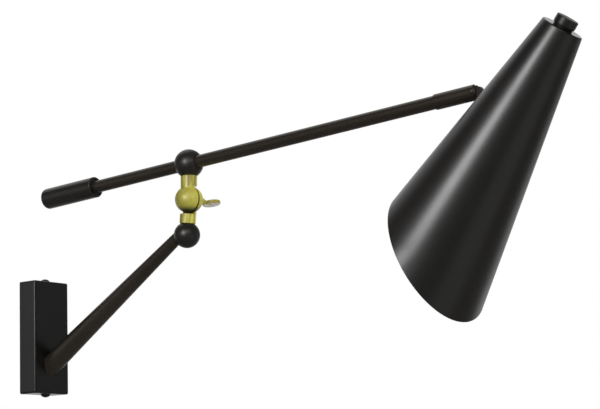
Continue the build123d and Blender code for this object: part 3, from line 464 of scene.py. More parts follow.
def satin_brass(name, axis, gloss, lacquer, brush, tarnish, painted_reflection_under):
    """Lacquered satin brass brushed along an axis, with painted seam shade and a painted reflection below."""
    finish, tree, shader = start_finish(name)
    offset = place_on(tree, knuckle_centre)
    from_centre = vector_step(tree, "LENGTH", offset)
    lines = brush_lines(tree, axis, from_centre)
    cloud = remap(tree, noise(tree, place_on(tree), CLOUD_CELLS, 3.0), *CLOUD_RANGE, *CLOUD_SHARE)
    body = mix_colour(tree, arithmetic(tree, "MULTIPLY_ADD", lines, brush, cloud), BRASS_DARK, BRASS_LIGHT)
    body = mix_colour(tree, rubbed_edges(tree, BRASS_RUB), body, BRASS_LIGHT)
    body = mix_colour(tree, tarnish, body, BRASS_DARK)
    # Painted reflection: faces that look down are mixed toward pale brass, standing in for the bright room
    # mirrored there.
    facing = tree.nodes.new("ShaderNodeTexCoord").outputs["Normal"]
    down = vector_step(tree, "DOT_PRODUCT", facing, (0.0, 0.0, -1.0))
    body = mix_colour(tree, remap(tree, down, *REFLECTION_DOWN_EDGE, 0.0, painted_reflection_under), body, BRASS_PAINTED_REFLECTION)
    # Painted shade: the ball's underside and the flats between the halves are mixed toward near black.
    painted_shade = painted_shade_places(tree, offset, from_centre)
    plug(tree, shader.inputs["Base Color"], mix_colour(tree, painted_shade, body, BRASS_PAINTED_SHADE))
    plug(tree, shader.inputs["Roughness"], arithmetic(tree, "MULTIPLY_ADD", lines, BRUSH_ROUGHNESS, gloss))
    shader.inputs["Metallic"].default_value = METAL_SHARE
    shader.inputs["Coat Weight"].default_value = LACQUER_WEIGHT
    shader.inputs["Coat Roughness"].default_value = lacquer
    raise_surface(tree, shader, lines, BRUSH_DEPTH)
    return finish


knuckle_look = dict(gloss=0.58, lacquer=0.34, brush=2.4, tarnish=0.0, painted_reflection_under=0.0)
thumb_look = dict(gloss=0.56, lacquer=0.14, brush=0.8, tarnish=0.55, painted_reflection_under=0.9)
knuckle_brass = satin_brass("knuckle_brass", stem_axis, **knuckle_look)
thumb_brass = satin_brass("thumb_brass", thumb_axis, **thumb_look)
print("brass made:", knuckle_brass.name, thumb_brass.name)

# %% [markdown]
# ## Finishes inside the cover and the shade
# Turn the lamp round, or look up into the shade, and other stuff shows: zinc plate on the bracket and the
# hoop, a rubber grommet, a pale moulded terminal block, pressed fibre washers, a black moulded switch, a
# glazed ceramic lamp holder and plain contact brass. Each has one or two marks that tell it from paint.
# The fibre disc between the knuckle's halves has rubbed on brass for so long that it is brassy itself.

# %% Zinc plate
ZINC_DARK = (0.50, 0.52, 0.55, 1.0)
ZINC_LIGHT = (0.70, 0.70, 0.69, 1.0)
ZINC_RUBBED = (0.80, 0.80, 0.78, 1.0)
ZINC_RUB = 0.4
SPANGLE_CELLS = 420
SPANGLE_SHARE = 0.35
ZINC_DRIFT_CELLS = 60
ZINC_RANGE = (0.4, 0.95)
ZINC_GLOSS = (0.42, 0.30)
SCRATCH_CELL = (0.0004, 0.006, 0.0004)
SCRATCH_DEPTH = 0.000006


def zinc_plate():
    """Bright zinc with faint crystals, a bluish drift and fine scratches."""
    finish, tree, shader = start_finish("zinc_plate")
    place = place_on(tree)
    spangle = tree.nodes.new("ShaderNodeTexVoronoi")
    spangle.inputs["Scale"].default_value = SPANGLE_CELLS
    plug(tree, spangle.inputs["Vector"], place)
    crystal = tree.nodes.new("ShaderNodeSeparateColor")
    tree.links.new(spangle.outputs["Color"], crystal.inputs["Color"])
    drift = noise(tree, place, ZINC_DRIFT_CELLS, 3.0)
    tone = arithmetic(tree, "MULTIPLY_ADD", crystal.outputs["Red"], SPANGLE_SHARE, drift)
    colour = mix_colour(tree, remap(tree, tone, *ZINC_RANGE, 0.0, 1.0), ZINC_DARK, ZINC_LIGHT)
    colour = mix_colour(tree, rubbed_edges(tree, ZINC_RUB), colour, ZINC_RUBBED)
    plug(tree, shader.inputs["Base Color"], colour)
    shader.inputs["Metallic"].default_value = 1.0
    plug(tree, shader.inputs["Roughness"], remap(tree, tone, *ZINC_RANGE, *ZINC_GLOSS))
    raise_surface(tree, shader, noise(tree, place_on(tree, cell=SCRATCH_CELL), 1.0, 2.0), SCRATCH_DEPTH)
    return finish


zinc = zinc_plate()
print("made", zinc.name)

# %% Rubber, mouldings, fibre and ceramic
GRAINS_TO_CLOUD = 12
GRAIN_SHARE = 0.4
GRAIN_GLOSS = 0.05
MOULDED_RUB = 0.35


def moulded(name, dark, light, cells, gloss, depth):
    """A moulded, pressed or fired stuff: two near tones, a grain and softly lightened edges."""
    finish, tree, shader = start_finish(name)
    place = place_on(tree)
    cloud = remap(tree, noise(tree, place, cells / GRAINS_TO_CLOUD, 3.0), *CLOUD_RANGE, 0.0, 1.0)
    grain = noise(tree, place, cells, 3.0)
    share = arithmetic(tree, "MULTIPLY_ADD", grain, GRAIN_SHARE, cloud)
    body = mix_colour(tree, share, (*dark, 1.0), (*light, 1.0))
    body = mix_colour(tree, rubbed_edges(tree, MOULDED_RUB), body, (*light, 1.0))
    plug(tree, shader.inputs["Base Color"], body)
    rough = remap(tree, grain, *CLOUD_RANGE, gloss - GRAIN_GLOSS, gloss + GRAIN_GLOSS)
    plug(tree, shader.inputs["Roughness"], rough)
    raise_surface(tree, shader, grain, depth)
    return finish


# Each row: dark tone, light tone, grains to the metre, roughness, depth of the grain in metres.
MOULDINGS = {
    "rubber": ((0.020, 0.020, 0.019), (0.042, 0.041, 0.039), 1800, 0.72, 0.00003),
    "terminal_white": ((0.70, 0.68, 0.60), (0.80, 0.78, 0.71), 1200, 0.46, 0.00001),
    "pressed_fibre": ((0.030, 0.022, 0.016), (0.075, 0.056, 0.038), 2600, 0.85, 0.00004),
    "switch_black": ((0.018, 0.018, 0.019), (0.034, 0.034, 0.035), 1500, 0.5, 0.00001),
    "glazed_ceramic": ((0.76, 0.74, 0.68), (0.85, 0.84, 0.79), 320, 0.16, 0.000012),
    "brassy_fibre": ((0.15, 0.118, 0.030), (0.27, 0.215, 0.060), 2600, 0.70, 0.00002),
}
mouldings = {name: moulded(name, *look) for name, look in MOULDINGS.items()}
print("made", list(mouldings))

# %% Contact brass
CONTACT_DARK = (0.50, 0.36, 0.13, 1.0)
CONTACT_LIGHT = (0.70, 0.56, 0.26, 1.0)
CONTACT_RUBBED = (0.80, 0.68, 0.38, 1.0)
CONTACT_RUB = 0.5
CONTACT_CELLS = 300
CONTACT_GLOSS = (0.38, 0.26)
DRAWN_CELL = (0.0003, 0.0003, 0.004)
DRAWN_DEPTH = 0.000008


def contact_metal():
    """Plain stamped brass, a little tarnished in clouds, with drawing lines."""
    finish, tree, shader = start_finish("contact_brass")
    cloud = remap(tree, noise(tree, place_on(tree), CONTACT_CELLS, 4.0), *DRIFT_RANGE, 0.0, 1.0)
    body = mix_colour(tree, cloud, CONTACT_DARK, CONTACT_LIGHT)
    body = mix_colour(tree, rubbed_edges(tree, CONTACT_RUB), body, CONTACT_RUBBED)
    plug(tree, shader.inputs["Base Color"], body)
    shader.inputs["Metallic"].default_value = 1.0
    plug(tree, shader.inputs["Roughness"], remap(tree, cloud, 0.0, 1.0, *CONTACT_GLOSS))
    raise_surface(tree, shader, noise(tree, place_on(tree, cell=DRAWN_CELL), 1.0, 2.0), DRAWN_DEPTH)
    return finish


contact_brass = contact_metal()
print("made", contact_brass.name)

# %% [markdown]
# ## Dress the nodes
# The imported record gives every node a material slot, so most nodes are dressed by a lookup. A few take a
# coat of their own, because the photograph shows them a little cooler or duller than the tubes. The switch
# nut takes the near black coat that is painted shade for the gap under the button.

# %% Put the finishes on
FINISH_OF = {
    "black_steel": coats["tube_coat"],
    "black_shade": shade_coat,
    "brass": knuckle_brass,
    "zinc": zinc,
    "rubber": mouldings["rubber"],
    "moulding": mouldings["terminal_white"],
    "fibre": mouldings["pressed_fibre"],
    "switch_moulding": mouldings["switch_black"],
    "ceramic": mouldings["glazed_ceramic"],
    "contact": contact_brass,
}
SPECIAL_FINISH = {
    "wall_cover": coats["cover_coat"],
    "cover_screws": coats["cover_coat"],
    "counterweight": coats["weight_coat"],
    "lower_ball": coats["lower_ball_coat"],
    "ball_plug": coats["lower_ball_coat"],
    "upper_ball": coats["upper_ball_coat"],
    "thumb_screw": thumb_brass,
    "friction_washer": mouldings["brassy_fibre"],
    "hinge_pin": coats["weight_coat"],
    "shade_lug": coats["weight_coat"],
    "switch_button": coats["button_coat"],
    # The switch nut takes the painted shade coat, so it reads as the dark gap under the button.
    "switch_nut": coats["gap_shade_black"],
}
slot_of = {part["node"]: part["material_slot"] for part in frame["record"]["subparts"]}
finish_of = {node: SPECIAL_FINISH.get(node, FINISH_OF[slot]) for node, slot in slot_of.items()}
for node, finish in finish_of.items():
    nodes[node].data.materials.clear()
    nodes[node].data.materials.append(finish)
print("dressed", len(finish_of), "nodes in", len(set(finish_of.values())), "finishes")

# %% [markdown]
# ## Screws with a cross recess
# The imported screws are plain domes. A real one has a cross in its head, and the lamp has five groups of
# them. Modelling one head and copying it by hand would do, but Geometry Nodes can take a handful of points
# that know which way is outward, build the head once from its sizes, and stand a copy on each point. The
# cross is two thin four-sided cones, driven into the dome by a boolean, as a header's punch does.

# %% Helpers for geometry trees
def add_input(tree, name, kind):
    """Adds a named input to a geometry tree and gives its identifier."""
    return tree.interface.new_socket(name=name, in_out="INPUT", socket_type=kind).identifier


def add_node(tree, kind, inputs=(), **settings):
    """A node of a geometry tree, with some settings, and inputs typed or linked by name."""
    made = tree.nodes.new(kind)
    for name, value in settings.items():
        setattr(made, name, value)
    for name, value in inputs:
        plug(tree, made.inputs[name], value)
    return made


def vector_of(tree, x, y, z):
    """Three values as one vector."""
    return add_node(tree, "ShaderNodeCombineXYZ", (("X", x), ("Y", y), ("Z", z))).outputs["Vector"]


def moved(tree, geometry, place, scale=(1, 1, 1), turn=(0, 0, 0)):
    """A geometry scaled, turned and moved."""
    inputs = (("Geometry", geometry), ("Translation", place), ("Rotation", turn), ("Scale", scale))
    return add_node(tree, "GeometryNodeTransform", inputs).outputs["Geometry"]


def joined(tree, operation, solids):
    """The union or the common part of some solids."""
    made = add_node(tree, "GeometryNodeMeshBoolean", operation=operation, solver="EXACT")
    for solid in solids:
        tree.links.new(solid, made.inputs["Mesh 2"])
    return made.outputs["Mesh"]


def finish_tree(tree, geometry, finish):
    """Ends a geometry tree with real geometry that wears a finish."""
    tree.interface.new_socket(name="Geometry", in_out="OUTPUT", socket_type="NodeSocketGeometry")
    real = add_node(tree, "GeometryNodeRealizeInstances", (("Geometry", geometry),)).outputs["Geometry"]
    dressed = add_node(tree, "GeometryNodeSetMaterial", (("Geometry", real), ("Material", finish)))
    output = tree.nodes.new("NodeGroupOutput")
    tree.links.new(dressed.outputs["Geometry"], output.inputs["Geometry"])


# %% The screw before its recess
DOME_SIDES = 48
SHANK_SIDES = 24
BLOCK_WIDTH = 3.0
BLOCK_HEIGHT = 2.0
SHANK_OVERLAP = 0.3


def dome(tree, half, height):
    """The upper half of a flattened ball, with its seat at nought."""
    inputs = (("Segments", DOME_SIDES), ("Rings", DOME_SIDES // 2), ("Radius", 1.0))
    ball = add_node(tree, "GeometryNodeMeshUVSphere", inputs).outputs["Mesh"]
    ball = moved(tree, ball, (0, 0, 0), vector_of(tree, half, half, height))
    inputs = (("Vertices", 4), ("Radius", 1.0), ("Depth", 1.0))
    block = add_node(tree, "GeometryNodeMeshCylinder", inputs).outputs["Mesh"]
    wide = arithmetic(tree, "MULTIPLY", half, BLOCK_WIDTH)
    tall = arithmetic(tree, "MULTIPLY", height, BLOCK_HEIGHT)
    block = moved(tree, block, vector_of(tree, 0.0, 0.0, height), vector_of(tree, wide, wide, tall))
    return joined(tree, "INTERSECT", (ball, block))


def screw_blank(tree, sizes):
    """A dome on a shank that reaches a little way up into it."""
    height = sizes["Head Height"]
    head = dome(tree, arithmetic(tree, "MULTIPLY", sizes["Head Diameter"], 0.5), height)
    inputs = (("Vertices", SHANK_SIDES), ("Radius", 0.5), ("Depth", 1.0))
    rod = add_node(tree, "GeometryNodeMeshCylinder", inputs).outputs["Mesh"]
    thick = sizes["Shank Diameter"]
    overlap = arithmetic(tree, "MULTIPLY", height, SHANK_OVERLAP)
    whole = arithmetic(tree, "ADD", sizes["Shank Length"], overlap)
    middle = arithmetic(tree, "MULTIPLY_ADD", whole, -0.5, overlap)
    rod = moved(tree, rod, vector_of(tree, 0.0, 0.0, middle), vector_of(tree, thick, thick, whole))
    return joined(tree, "UNION", (head, rod))


# %% The screw tree
RECESS_FLOOR = 0.3
RECESS_STAND = 1.4
WING_SHARE = 0.34
HEAD_SIZES = ("Head Diameter", "Head Height")
SHANK_SIZES = ("Shank Diameter", "Shank Length")
RECESS_SIZES = ("Recess Span", "Recess Depth")
SCREW_SIZES = HEAD_SIZES + SHANK_SIZES + RECESS_SIZES


def punched(tree, blank, sizes):
    """A blank with a cross driven into its head."""
    inputs = (("Vertices", 4), ("Radius Top", 1.0), ("Radius Bottom", RECESS_FLOOR), ("Depth", 1.0))
    wing = add_node(tree, "GeometryNodeMeshCone", inputs).outputs["Mesh"]
    span = arithmetic(tree, "MULTIPLY", sizes["Recess Span"], 0.5)
    thin = arithmetic(tree, "MULTIPLY", span, WING_SHARE)
    stand = arithmetic(tree, "MULTIPLY", sizes["Recess Depth"], RECESS_STAND)
    floor_height = arithmetic(tree, "SUBTRACT", sizes["Head Height"], sizes["Recess Depth"])
    cut = add_node(tree, "GeometryNodeMeshBoolean", operation="DIFFERENCE", solver="EXACT")
    tree.links.new(blank, cut.inputs["Mesh 1"])
    for turn in (0.0, math.pi / 2):
        place = vector_of(tree, 0.0, 0.0, floor_height)
        punch = moved(tree, wing, place, vector_of(tree, span, thin, stand), (0, 0, turn))
        tree.links.new(punch, cut.inputs["Mesh 2"])
    return cut.outputs["Mesh"]


screw_tree = bpy.data.node_groups.new("recessed_screw", "GeometryNodeTree")
screw_ids = {"Points": add_input(screw_tree, "Points", "NodeSocketGeometry")}
for name in SCREW_SIZES:
    screw_ids[name] = add_input(screw_tree, name, "NodeSocketFloat")
screw_ids["Finish"] = add_input(screw_tree, "Finish", "NodeSocketMaterial")
screw_sizes = screw_tree.nodes.new("NodeGroupInput").outputs
one_screw = punched(screw_tree, screw_blank(screw_tree, screw_sizes), screw_sizes)
outward_name = (("Name", "outward"),)
outward = add_node(screw_tree, "GeometryNodeInputNamedAttribute", outward_name, data_type="FLOAT_VECTOR")
aim_inputs = (("Vector", outward.outputs["Attribute"]),)
aim = add_node(screw_tree, "FunctionNodeAlignRotationToVector", aim_inputs, axis="Z").outputs["Rotation"]
copy_inputs = (("Points", screw_sizes["Points"]), ("Instance", one_screw), ("Rotation", aim))
copies = add_node(screw_tree, "GeometryNodeInstanceOnPoints", copy_inputs)
finish_tree(screw_tree, copies.outputs["Instances"], screw_sizes["Finish"])
print("screw tree has", len(screw_tree.nodes), "nodes")

# %% [markdown]
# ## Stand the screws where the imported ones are
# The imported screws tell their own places: along its outward direction each ends at the head's top, and
# across it the middle of its spread is its axis. Each group becomes a little mesh of bare points with the
# outward direction kept as an attribute. The tree's inputs are set by their identifiers before the object
# is first evaluated, and the result is a plain mesh that rides with the screws that it stands for.

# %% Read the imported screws
def spread(points, direction):
    """The least and the greatest reach of some points along a direction."""
    reaches = [point.dot(direction) for point in points]
    return min(reaches), max(reaches)


def packed_screws(node, outwards, apart):
    """Each screw of a node as the top of its head, its outward direction, its diameter and its length."""
    points = [nodes[node].matrix_world @ vertex.co for vertex in nodes[node].data.vertices]
    middle = sum(spread(points, apart)) / 2
    found = []
    for side, outward in zip((1, -1), outwards):
        mine = points
        if len(outwards) > 1:
            mine = [point for point in points if (point.dot(apart) - middle) * side > 0]
        across = outward.orthogonal().normalized()
        top = outward * spread(mine, outward)[1]
        for direction in (across, outward.cross(across)):
            top = top + direction * sum(spread(mine, direction)) / 2
        width = spread(mine, across)[1] - spread(mine, across)[0]
        length = spread(mine, outward)[1] - spread(mine, outward)[0]
        found.append((top, outward, width, length))
    return found


# %% Make a group of screws
SMOOTH_ANGLE = math.radians(38)
RECESS_SHARE = 0.62


def smooth_but_edges(mesh):
    """Shades a mesh smooth, but for its sharp edges."""
    mesh.shade_smooth()
    mesh.set_sharp_from_angle(angle=SMOOTH_ANGLE)


def grown_mesh(name, start, tree, inputs):
    """The plain mesh object, at the origin, that a geometry tree grows from a start mesh."""
    carrier = add_object(name + "_start", start)
    modifier = carrier.modifiers.new("grow", "NODES")
    modifier.node_group = tree
    for identifier, value in inputs.items():
        modifier[identifier] = value
    evaluated = carrier.evaluated_get(bpy.context.evaluated_depsgraph_get())
    mesh = bpy.data.meshes.new_from_object(evaluated)
    mesh.name = name
    bpy.data.objects.remove(carrier)
    smooth_but_edges(mesh)
    return add_object(name, mesh)


def recessed_screws(node, body, outwards, head_height, shank, apart=Vector((0, 0, 1))):
    """Recessed screws in place of a node's plain ones."""
    found = packed_screws(node, outwards, apart)
    points = bpy.data.meshes.new(node + "_points")
    points.from_pydata([tuple(top - outward * head_height) for top, outward, *_ in found], [], [])
    direction = points.attributes.new("outward", "FLOAT_VECTOR", "POINT")
    for point, (top, outward, *_) in zip(direction.data, found):
        point.vector = outward
    width, length = found[0][2:]
    recess = (RECESS_SHARE * width, RECESS_SHARE * head_height)
    sizes = (width, head_height, shank, length - head_height, *recess)
    inputs = {screw_ids[name]: size for name, size in zip(SCREW_SIZES, sizes)}
    inputs[screw_ids["Finish"]] = finish_of[node]
    made = grown_mesh(node + "_recessed", points, screw_tree, inputs)
    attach(made, body)
    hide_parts(node)
    print(made.name, len(made.data.polygons), "faces on", body, "heads", round(width * 1000, 2), "mm wide")


# %% Set every recessed screw
# Each size of screw: the height of its head and the diameter of its shank.
COVER_SCREW = (0.0034, 0.0040)
GROUND_SCREW = (0.0026, 0.0040)
SMALL_SCREW = (0.0020, 0.0030)
UP = Vector((0, 0, 1))
OUT = Vector((1, 0, 0))
lug_along = Vector((0, 1, 0)).cross(lug_inward)

recessed_screws("cover_screws", "wall_base", (UP, -UP), *COVER_SCREW)
recessed_screws("terminal_screw", "wall_base", (OUT,), *SMALL_SCREW)
recessed_screws("ground_screw", "wall_base", (OUT,), *GROUND_SCREW)
recessed_screws("lug_screws", "shade_head", (lug_inward, lug_inward), *SMALL_SCREW, lug_along)
recessed_screws("holder_screws", "shade_head", (-shade_axis, -shade_axis), *SMALL_SCREW, shade_side)

# %% [markdown]
# ## A rolled thread in the lamp holder
# The socket's brass shell is thin sheet, rolled so that a lamp's thread runs in it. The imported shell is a
# plain ring. Its real form follows one rule: the radius swells and shrinks as the turn goes on, and each
# turn climbs by one pitch. A flat grid, bent into a tube by that rule, is the whole shell.

# %% The thread tree
SAME_PLACE = 1e-6

thread_tree = bpy.data.node_groups.new("rolled_thread", "GeometryNodeTree")
thread_ids = {}
for name in ("Radius", "Wave", "Pitch", "Length"):
    thread_ids[name] = add_input(thread_tree, name, "NodeSocketFloat")
for name in ("Around", "Along"):
    thread_ids[name] = add_input(thread_tree, name, "NodeSocketInt")
thread_ids["Finish"] = add_input(thread_tree, "Finish", "NodeSocketMaterial")
thread_sizes = thread_tree.nodes.new("NodeGroupInput").outputs


def bent_grid(tree, sizes):
    """A flat grid bent into a tube whose radius follows a climbing wave."""
    counts = (("Vertices X", sizes["Around"]), ("Vertices Y", sizes["Along"]))
    inputs = (("Size X", 1.0), ("Size Y", 1.0), *counts)
    grid = add_node(tree, "GeometryNodeMeshGrid", inputs).outputs["Mesh"]
    position = tree.nodes.new("GeometryNodeInputPosition").outputs["Position"]
    flat = add_node(tree, "ShaderNodeSeparateXYZ", (("Vector", position),)).outputs
    angle = arithmetic(tree, "MULTIPLY", arithmetic(tree, "ADD", flat["X"], 0.5), 2 * math.pi)
    height = arithmetic(tree, "MULTIPLY", arithmetic(tree, "ADD", flat["Y"], 0.5), sizes["Length"])
    climb = arithmetic(tree, "MULTIPLY", arithmetic(tree, "DIVIDE", height, sizes["Pitch"]), 2 * math.pi)
    swell = arithmetic(tree, "COSINE", arithmetic(tree, "SUBTRACT", angle, climb))
    radius = arithmetic(tree, "MULTIPLY_ADD", swell, sizes["Wave"], sizes["Radius"])
    x = arithmetic(tree, "MULTIPLY", radius, arithmetic(tree, "COSINE", angle))
    y = arithmetic(tree, "MULTIPLY", radius, arithmetic(tree, "SINE", angle))
    inputs = (("Geometry", grid), ("Position", vector_of(tree, x, y, height)))
    tube = add_node(tree, "GeometryNodeSetPosition", inputs).outputs["Geometry"]
    inputs = (("Geometry", tube), ("Distance", SAME_PLACE))
    return add_node(tree, "GeometryNodeMergeByDistance", inputs).outputs["Geometry"]


finish_tree(thread_tree, bent_grid(thread_tree, thread_sizes), thread_sizes["Finish"])
print("thread tree has", len(thread_tree.nodes), "nodes")

# %% Roll the shell and give it a thickness
SHELL_RADIUS = 0.01350
THREAD_WAVE = 0.00030
THREAD_PITCH = 0.0036
SHELL_SHEET = 0.00025
SHELL_LENGTH = 0.025
SHELL_START = SOCKET_BELOW_TOP - SHELL_LENGTH / 2
SHELL_COLUMNS = 97
SHELL_ROWS = 85


def close_mesh(mesh, sheet=0.0):
    """Gives a mesh the thickness of a sheet, if there is one, and turns all its faces outward."""
    shape = bmesh.new()
    shape.from_mesh(mesh)
    if sheet:
        bmesh.ops.solidify(shape, geom=shape.faces[:], thickness=sheet)
    bmesh.ops.recalc_face_normals(shape, faces=shape.faces[:])
    shape.to_mesh(mesh)
    shape.free()
    smooth_but_edges(mesh)


shell_sizes = {"Radius": SHELL_RADIUS, "Wave": THREAD_WAVE, "Pitch": THREAD_PITCH, "Length": SHELL_LENGTH,
               "Around": SHELL_COLUMNS, "Along": SHELL_ROWS, "Finish": contact_brass}
shell_inputs = {thread_ids[name]: value for name, value in shell_sizes.items()}
threaded_shell = grown_mesh("threaded_shell", bpy.data.meshes.new("no_points"), thread_tree, shell_inputs)
close_mesh(threaded_shell.data, SHELL_SHEET)
shade_turn = axes_matrix(shade_side, shade_axis.cross(shade_side), shade_axis)
threaded_shell.data.transform(Matrix.Translation(shade_top + shade_axis * SHELL_START) @ shade_turn)
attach(threaded_shell, "shade_head")
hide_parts("screw_shell")
print("threaded shell has", len(threaded_shell.data.polygons), "faces")

# %% [markdown]
# ## The push button
# The button is a turned cap on a thin stem, and its skirt ends in a lip that steps in. The lip wears a
# dull, near black coat, painted shade for the dark gap under the cap, so that a black line shows there. A
# turned piece is a profile carried round an axis: rings of points for each step of the profile, one pole at
# each end, and faces between neighbours. The rim's rounding is part of the profile, and the faces below the
# skirt's end take the second finish, the painted shade.

# %% Turn a profile
TURN_SIDES = 96


def turned(name, profile, place):
    """A closed solid of turning: pairs of radius and height, from pole to pole, about a placed Z axis."""
    points = []
    rings = []
    for radius, height in profile:
        count = TURN_SIDES if radius else 1
        rings.append(range(len(points), len(points) + count))
        angles = [2 * math.pi * index / TURN_SIDES for index in range(count)]
        points.extend(place @ Vector((radius * math.cos(a), radius * math.sin(a), height)) for a in angles)
    faces = []
    for near, far in zip(rings, rings[1:]):
        for index in range(TURN_SIDES):
            after = index + 1
            walk = ((near, index), (near, after), (far, after), (far, index))
            corners = [ring[step % len(ring)] for ring, step in walk]
            faces.append(list(dict.fromkeys(corners)))
    mesh = bpy.data.meshes.new(name)
    mesh.from_pydata(points, [], faces)
    close_mesh(mesh)
    return add_object(name, mesh)


# %% The button
# Heights run down the shade's axis from its flat top, so what stands above the top is below nought.
BUTTON_RADIUS = 0.0106
BUTTON_TOP = -0.00975
BUTTON_SKIRT = -0.00270
BUTTON_ROUND = 0.0008
ROUND_STEPS = 6
LIP_RADIUS = 0.0103
LIP_FOOT = -0.00185
CUP_RADIUS = 0.0097
CUP_FLOOR = -0.00635
STEM_RADIUS = 0.0030
STEM_END = 0.00615

quarter = [math.radians(90 * step / ROUND_STEPS) for step in range(ROUND_STEPS + 1)]
rim_radius = BUTTON_RADIUS - BUTTON_ROUND
rim_height = BUTTON_TOP + BUTTON_ROUND
rim = [(rim_radius + BUTTON_ROUND * math.sin(a), rim_height - BUTTON_ROUND * math.cos(a)) for a in quarter]
skirt = [(BUTTON_RADIUS, BUTTON_SKIRT), (LIP_RADIUS, BUTTON_SKIRT)]
lip = [(LIP_RADIUS, LIP_FOOT), (CUP_RADIUS, LIP_FOOT), (CUP_RADIUS, CUP_FLOOR)]
stem = [(STEM_RADIUS, CUP_FLOOR), (STEM_RADIUS, STEM_END), (0.0, STEM_END)]
button_profile = [(0.0, BUTTON_TOP), *rim, *skirt, *lip, *stem]
button = turned("turned_button", button_profile, Matrix.Translation(shade_top) @ shade_turn)
button.data.materials.append(coats["button_coat"])
button.data.materials.append(coats["gap_shade_black"])
# Faces below the skirt's end take the near black coat, painted shade of the gap under the cap.
for face in button.data.polygons:
    face.material_index = int((face.center - shade_top).dot(shade_axis) > BUTTON_SKIRT - SAME_PLACE)
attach(button, "button")
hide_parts("switch_button")
print(button.name, "has", len(button.data.polygons), "faces")

# %% [markdown]
# ## The studio floor
# The background is pure white and the lamp is black, so light shows on it as reflections. The floor and
# the world look white to the camera by their own glow, and not by more light on the lamp. In the lamp's
# reflections the near floor is dim, so that the blacks stay deep, and it brightens again far behind the
# lamp, as a sheet of paper does that is swept up to a lit wall.

# %% Floor
FLOOR_HEIGHT = -0.95
FLOOR_REACH = 9.0
FLOOR_GLOW = 0.85
FLOOR_GREY = 0.6
FLOOR_MIRRORED = 0.28
SWEEP_EDGE = (1.6, 3.6)

floor_mesh = bpy.data.meshes.new("floor")
sides = ((-1, -1), (1, -1), (1, 1), (-1, 1))
corners = [(x * FLOOR_REACH, y * FLOOR_REACH, FLOOR_HEIGHT) for x, y in sides]
floor_mesh.from_pydata(corners, [], [(0, 1, 2, 3)])
floor = add_object("floor", floor_mesh)

floor_paint = bpy.data.materials.new("floor_paint")
floor_paint.use_nodes = True
tree = floor_paint.node_tree
tree.nodes.clear()
output = tree.nodes.new("ShaderNodeOutputMaterial")
matt = tree.nodes.new("ShaderNodeBsdfDiffuse")
glow = tree.nodes.new("ShaderNodeEmission")
path = tree.nodes.new("ShaderNodeLightPath")
mirrored = path.outputs["Is Glossy Ray"]
plug(tree, matt.inputs["Color"], mix_colour(tree, mirrored, grey(FLOOR_GREY), grey(FLOOR_MIRRORED)))
behind = vector_step(tree, "DOT_PRODUCT", place_on(tree), tuple(-flat_back))
sweep = arithmetic(tree, "MULTIPLY", mirrored, remap(tree, behind, *SWEEP_EDGE, 0.0, 1.0))
plain = arithmetic(tree, "MAXIMUM", path.outputs["Is Camera Ray"], path.outputs["Is Transmission Ray"])
seen = arithmetic(tree, "MAXIMUM", plain, sweep)
mixer = tree.nodes.new("ShaderNodeMixShader")
plug(tree, mixer.inputs["Fac"], arithmetic(tree, "MULTIPLY", seen, FLOOR_GLOW))
tree.links.new(matt.outputs["BSDF"], mixer.inputs[1])
tree.links.new(glow.outputs["Emission"], mixer.inputs[2])
tree.links.new(mixer.outputs["Shader"], output.inputs["Surface"])
floor_mesh.materials.append(floor_paint)
print("floor lies", -FLOOR_HEIGHT, "metres below the wall fixing")

# %% [markdown]
# ## The studio room
# A black lamp mirrors the room it stands in. White cards on stands would do for that room, but the world
# can hold it by direction alone, with nothing to stand in the way of another view. A white sheet behind
# the lamp gives every round edge a thin rim, a pale ceiling lights the tubes' upper edges, a grey side
# wall fills the edges on the right, and the rest is dim and a little warm. Matt surfaces see another
# room, which is brightest at the camera's right and warmer where it fades. The camera sees plain white.

# %% What shines and what is matt
WHITE = (1.0, 1.0, 1.0, 1.0)
DARK_STUDIO = 0.085
STUDIO_WARM = (1.20, 0.985, 0.90, 1.0)
SHEET_LEAN = math.radians(10)
SHEET_EDGE = (0.60, 0.90)
CEILING_TOWARD = Vector((-0.50, 0.25, 0.83))
CEILING_EDGE = (0.84, 0.97)
CEILING_GLOW = 1.2
WALL_TOWARD = Vector((0.605, 0.78, 0.161))
WALL_EDGE = (0.78, 0.95)
WALL_GLOW = 0.24
LIFT_TOWARD = (camera_right * 0.8 + camera_back * 0.55 + camera_up * 0.25).normalized()
LIFT_EDGE = (-0.02, 0.95)
LIFT_GLOW = 2.35
LIFT_TONES = (0.1 * LIFT_GLOW, 0.7 * LIFT_GLOW)
LIFT_WARM = (1.12, 0.96, 0.84, 1.0)
LIFT_COOL = (0.98, 1.01, 0.98, 1.0)


def glow_toward(tree, toward, edge, low, high):
    """A glow that rises from low to high as a ray's direction nears a given one."""
    direction = tree.nodes.new("ShaderNodeTexCoord").outputs["Generated"]
    return remap(tree, vector_step(tree, "DOT_PRODUCT", direction, tuple(toward)), *edge, low, high)


def mirrored_room(tree):
    """What reflections show of the room, as a level and a tone."""
    sheet_toward = -camera_back * math.cos(SHEET_LEAN) - camera_right * math.sin(SHEET_LEAN)
    sheet = glow_toward(tree, sheet_toward, SHEET_EDGE, DARK_STUDIO, 1.0)
    ceiling = glow_toward(tree, CEILING_TOWARD, CEILING_EDGE, 0.0, CEILING_GLOW)
    side_wall = glow_toward(tree, WALL_TOWARD, WALL_EDGE, 0.0, WALL_GLOW)
    level = arithmetic(tree, "MAXIMUM", sheet, arithmetic(tree, "MAXIMUM", ceiling, side_wall))
    lit = remap(tree, level, DARK_STUDIO, 2 * DARK_STUDIO, 0.0, 1.0)
    return level, mix_colour(tree, lit, STUDIO_WARM, WHITE)


def matt_room(tree):
    """What the room gives to matt surfaces, as a level and a tone."""
    level = glow_toward(tree, LIFT_TOWARD, LIFT_EDGE, 0.0, LIFT_GLOW)
    return level, mix_colour(tree, remap(tree, level, *LIFT_TONES, 0.0, 1.0), LIFT_WARM, LIFT_COOL)


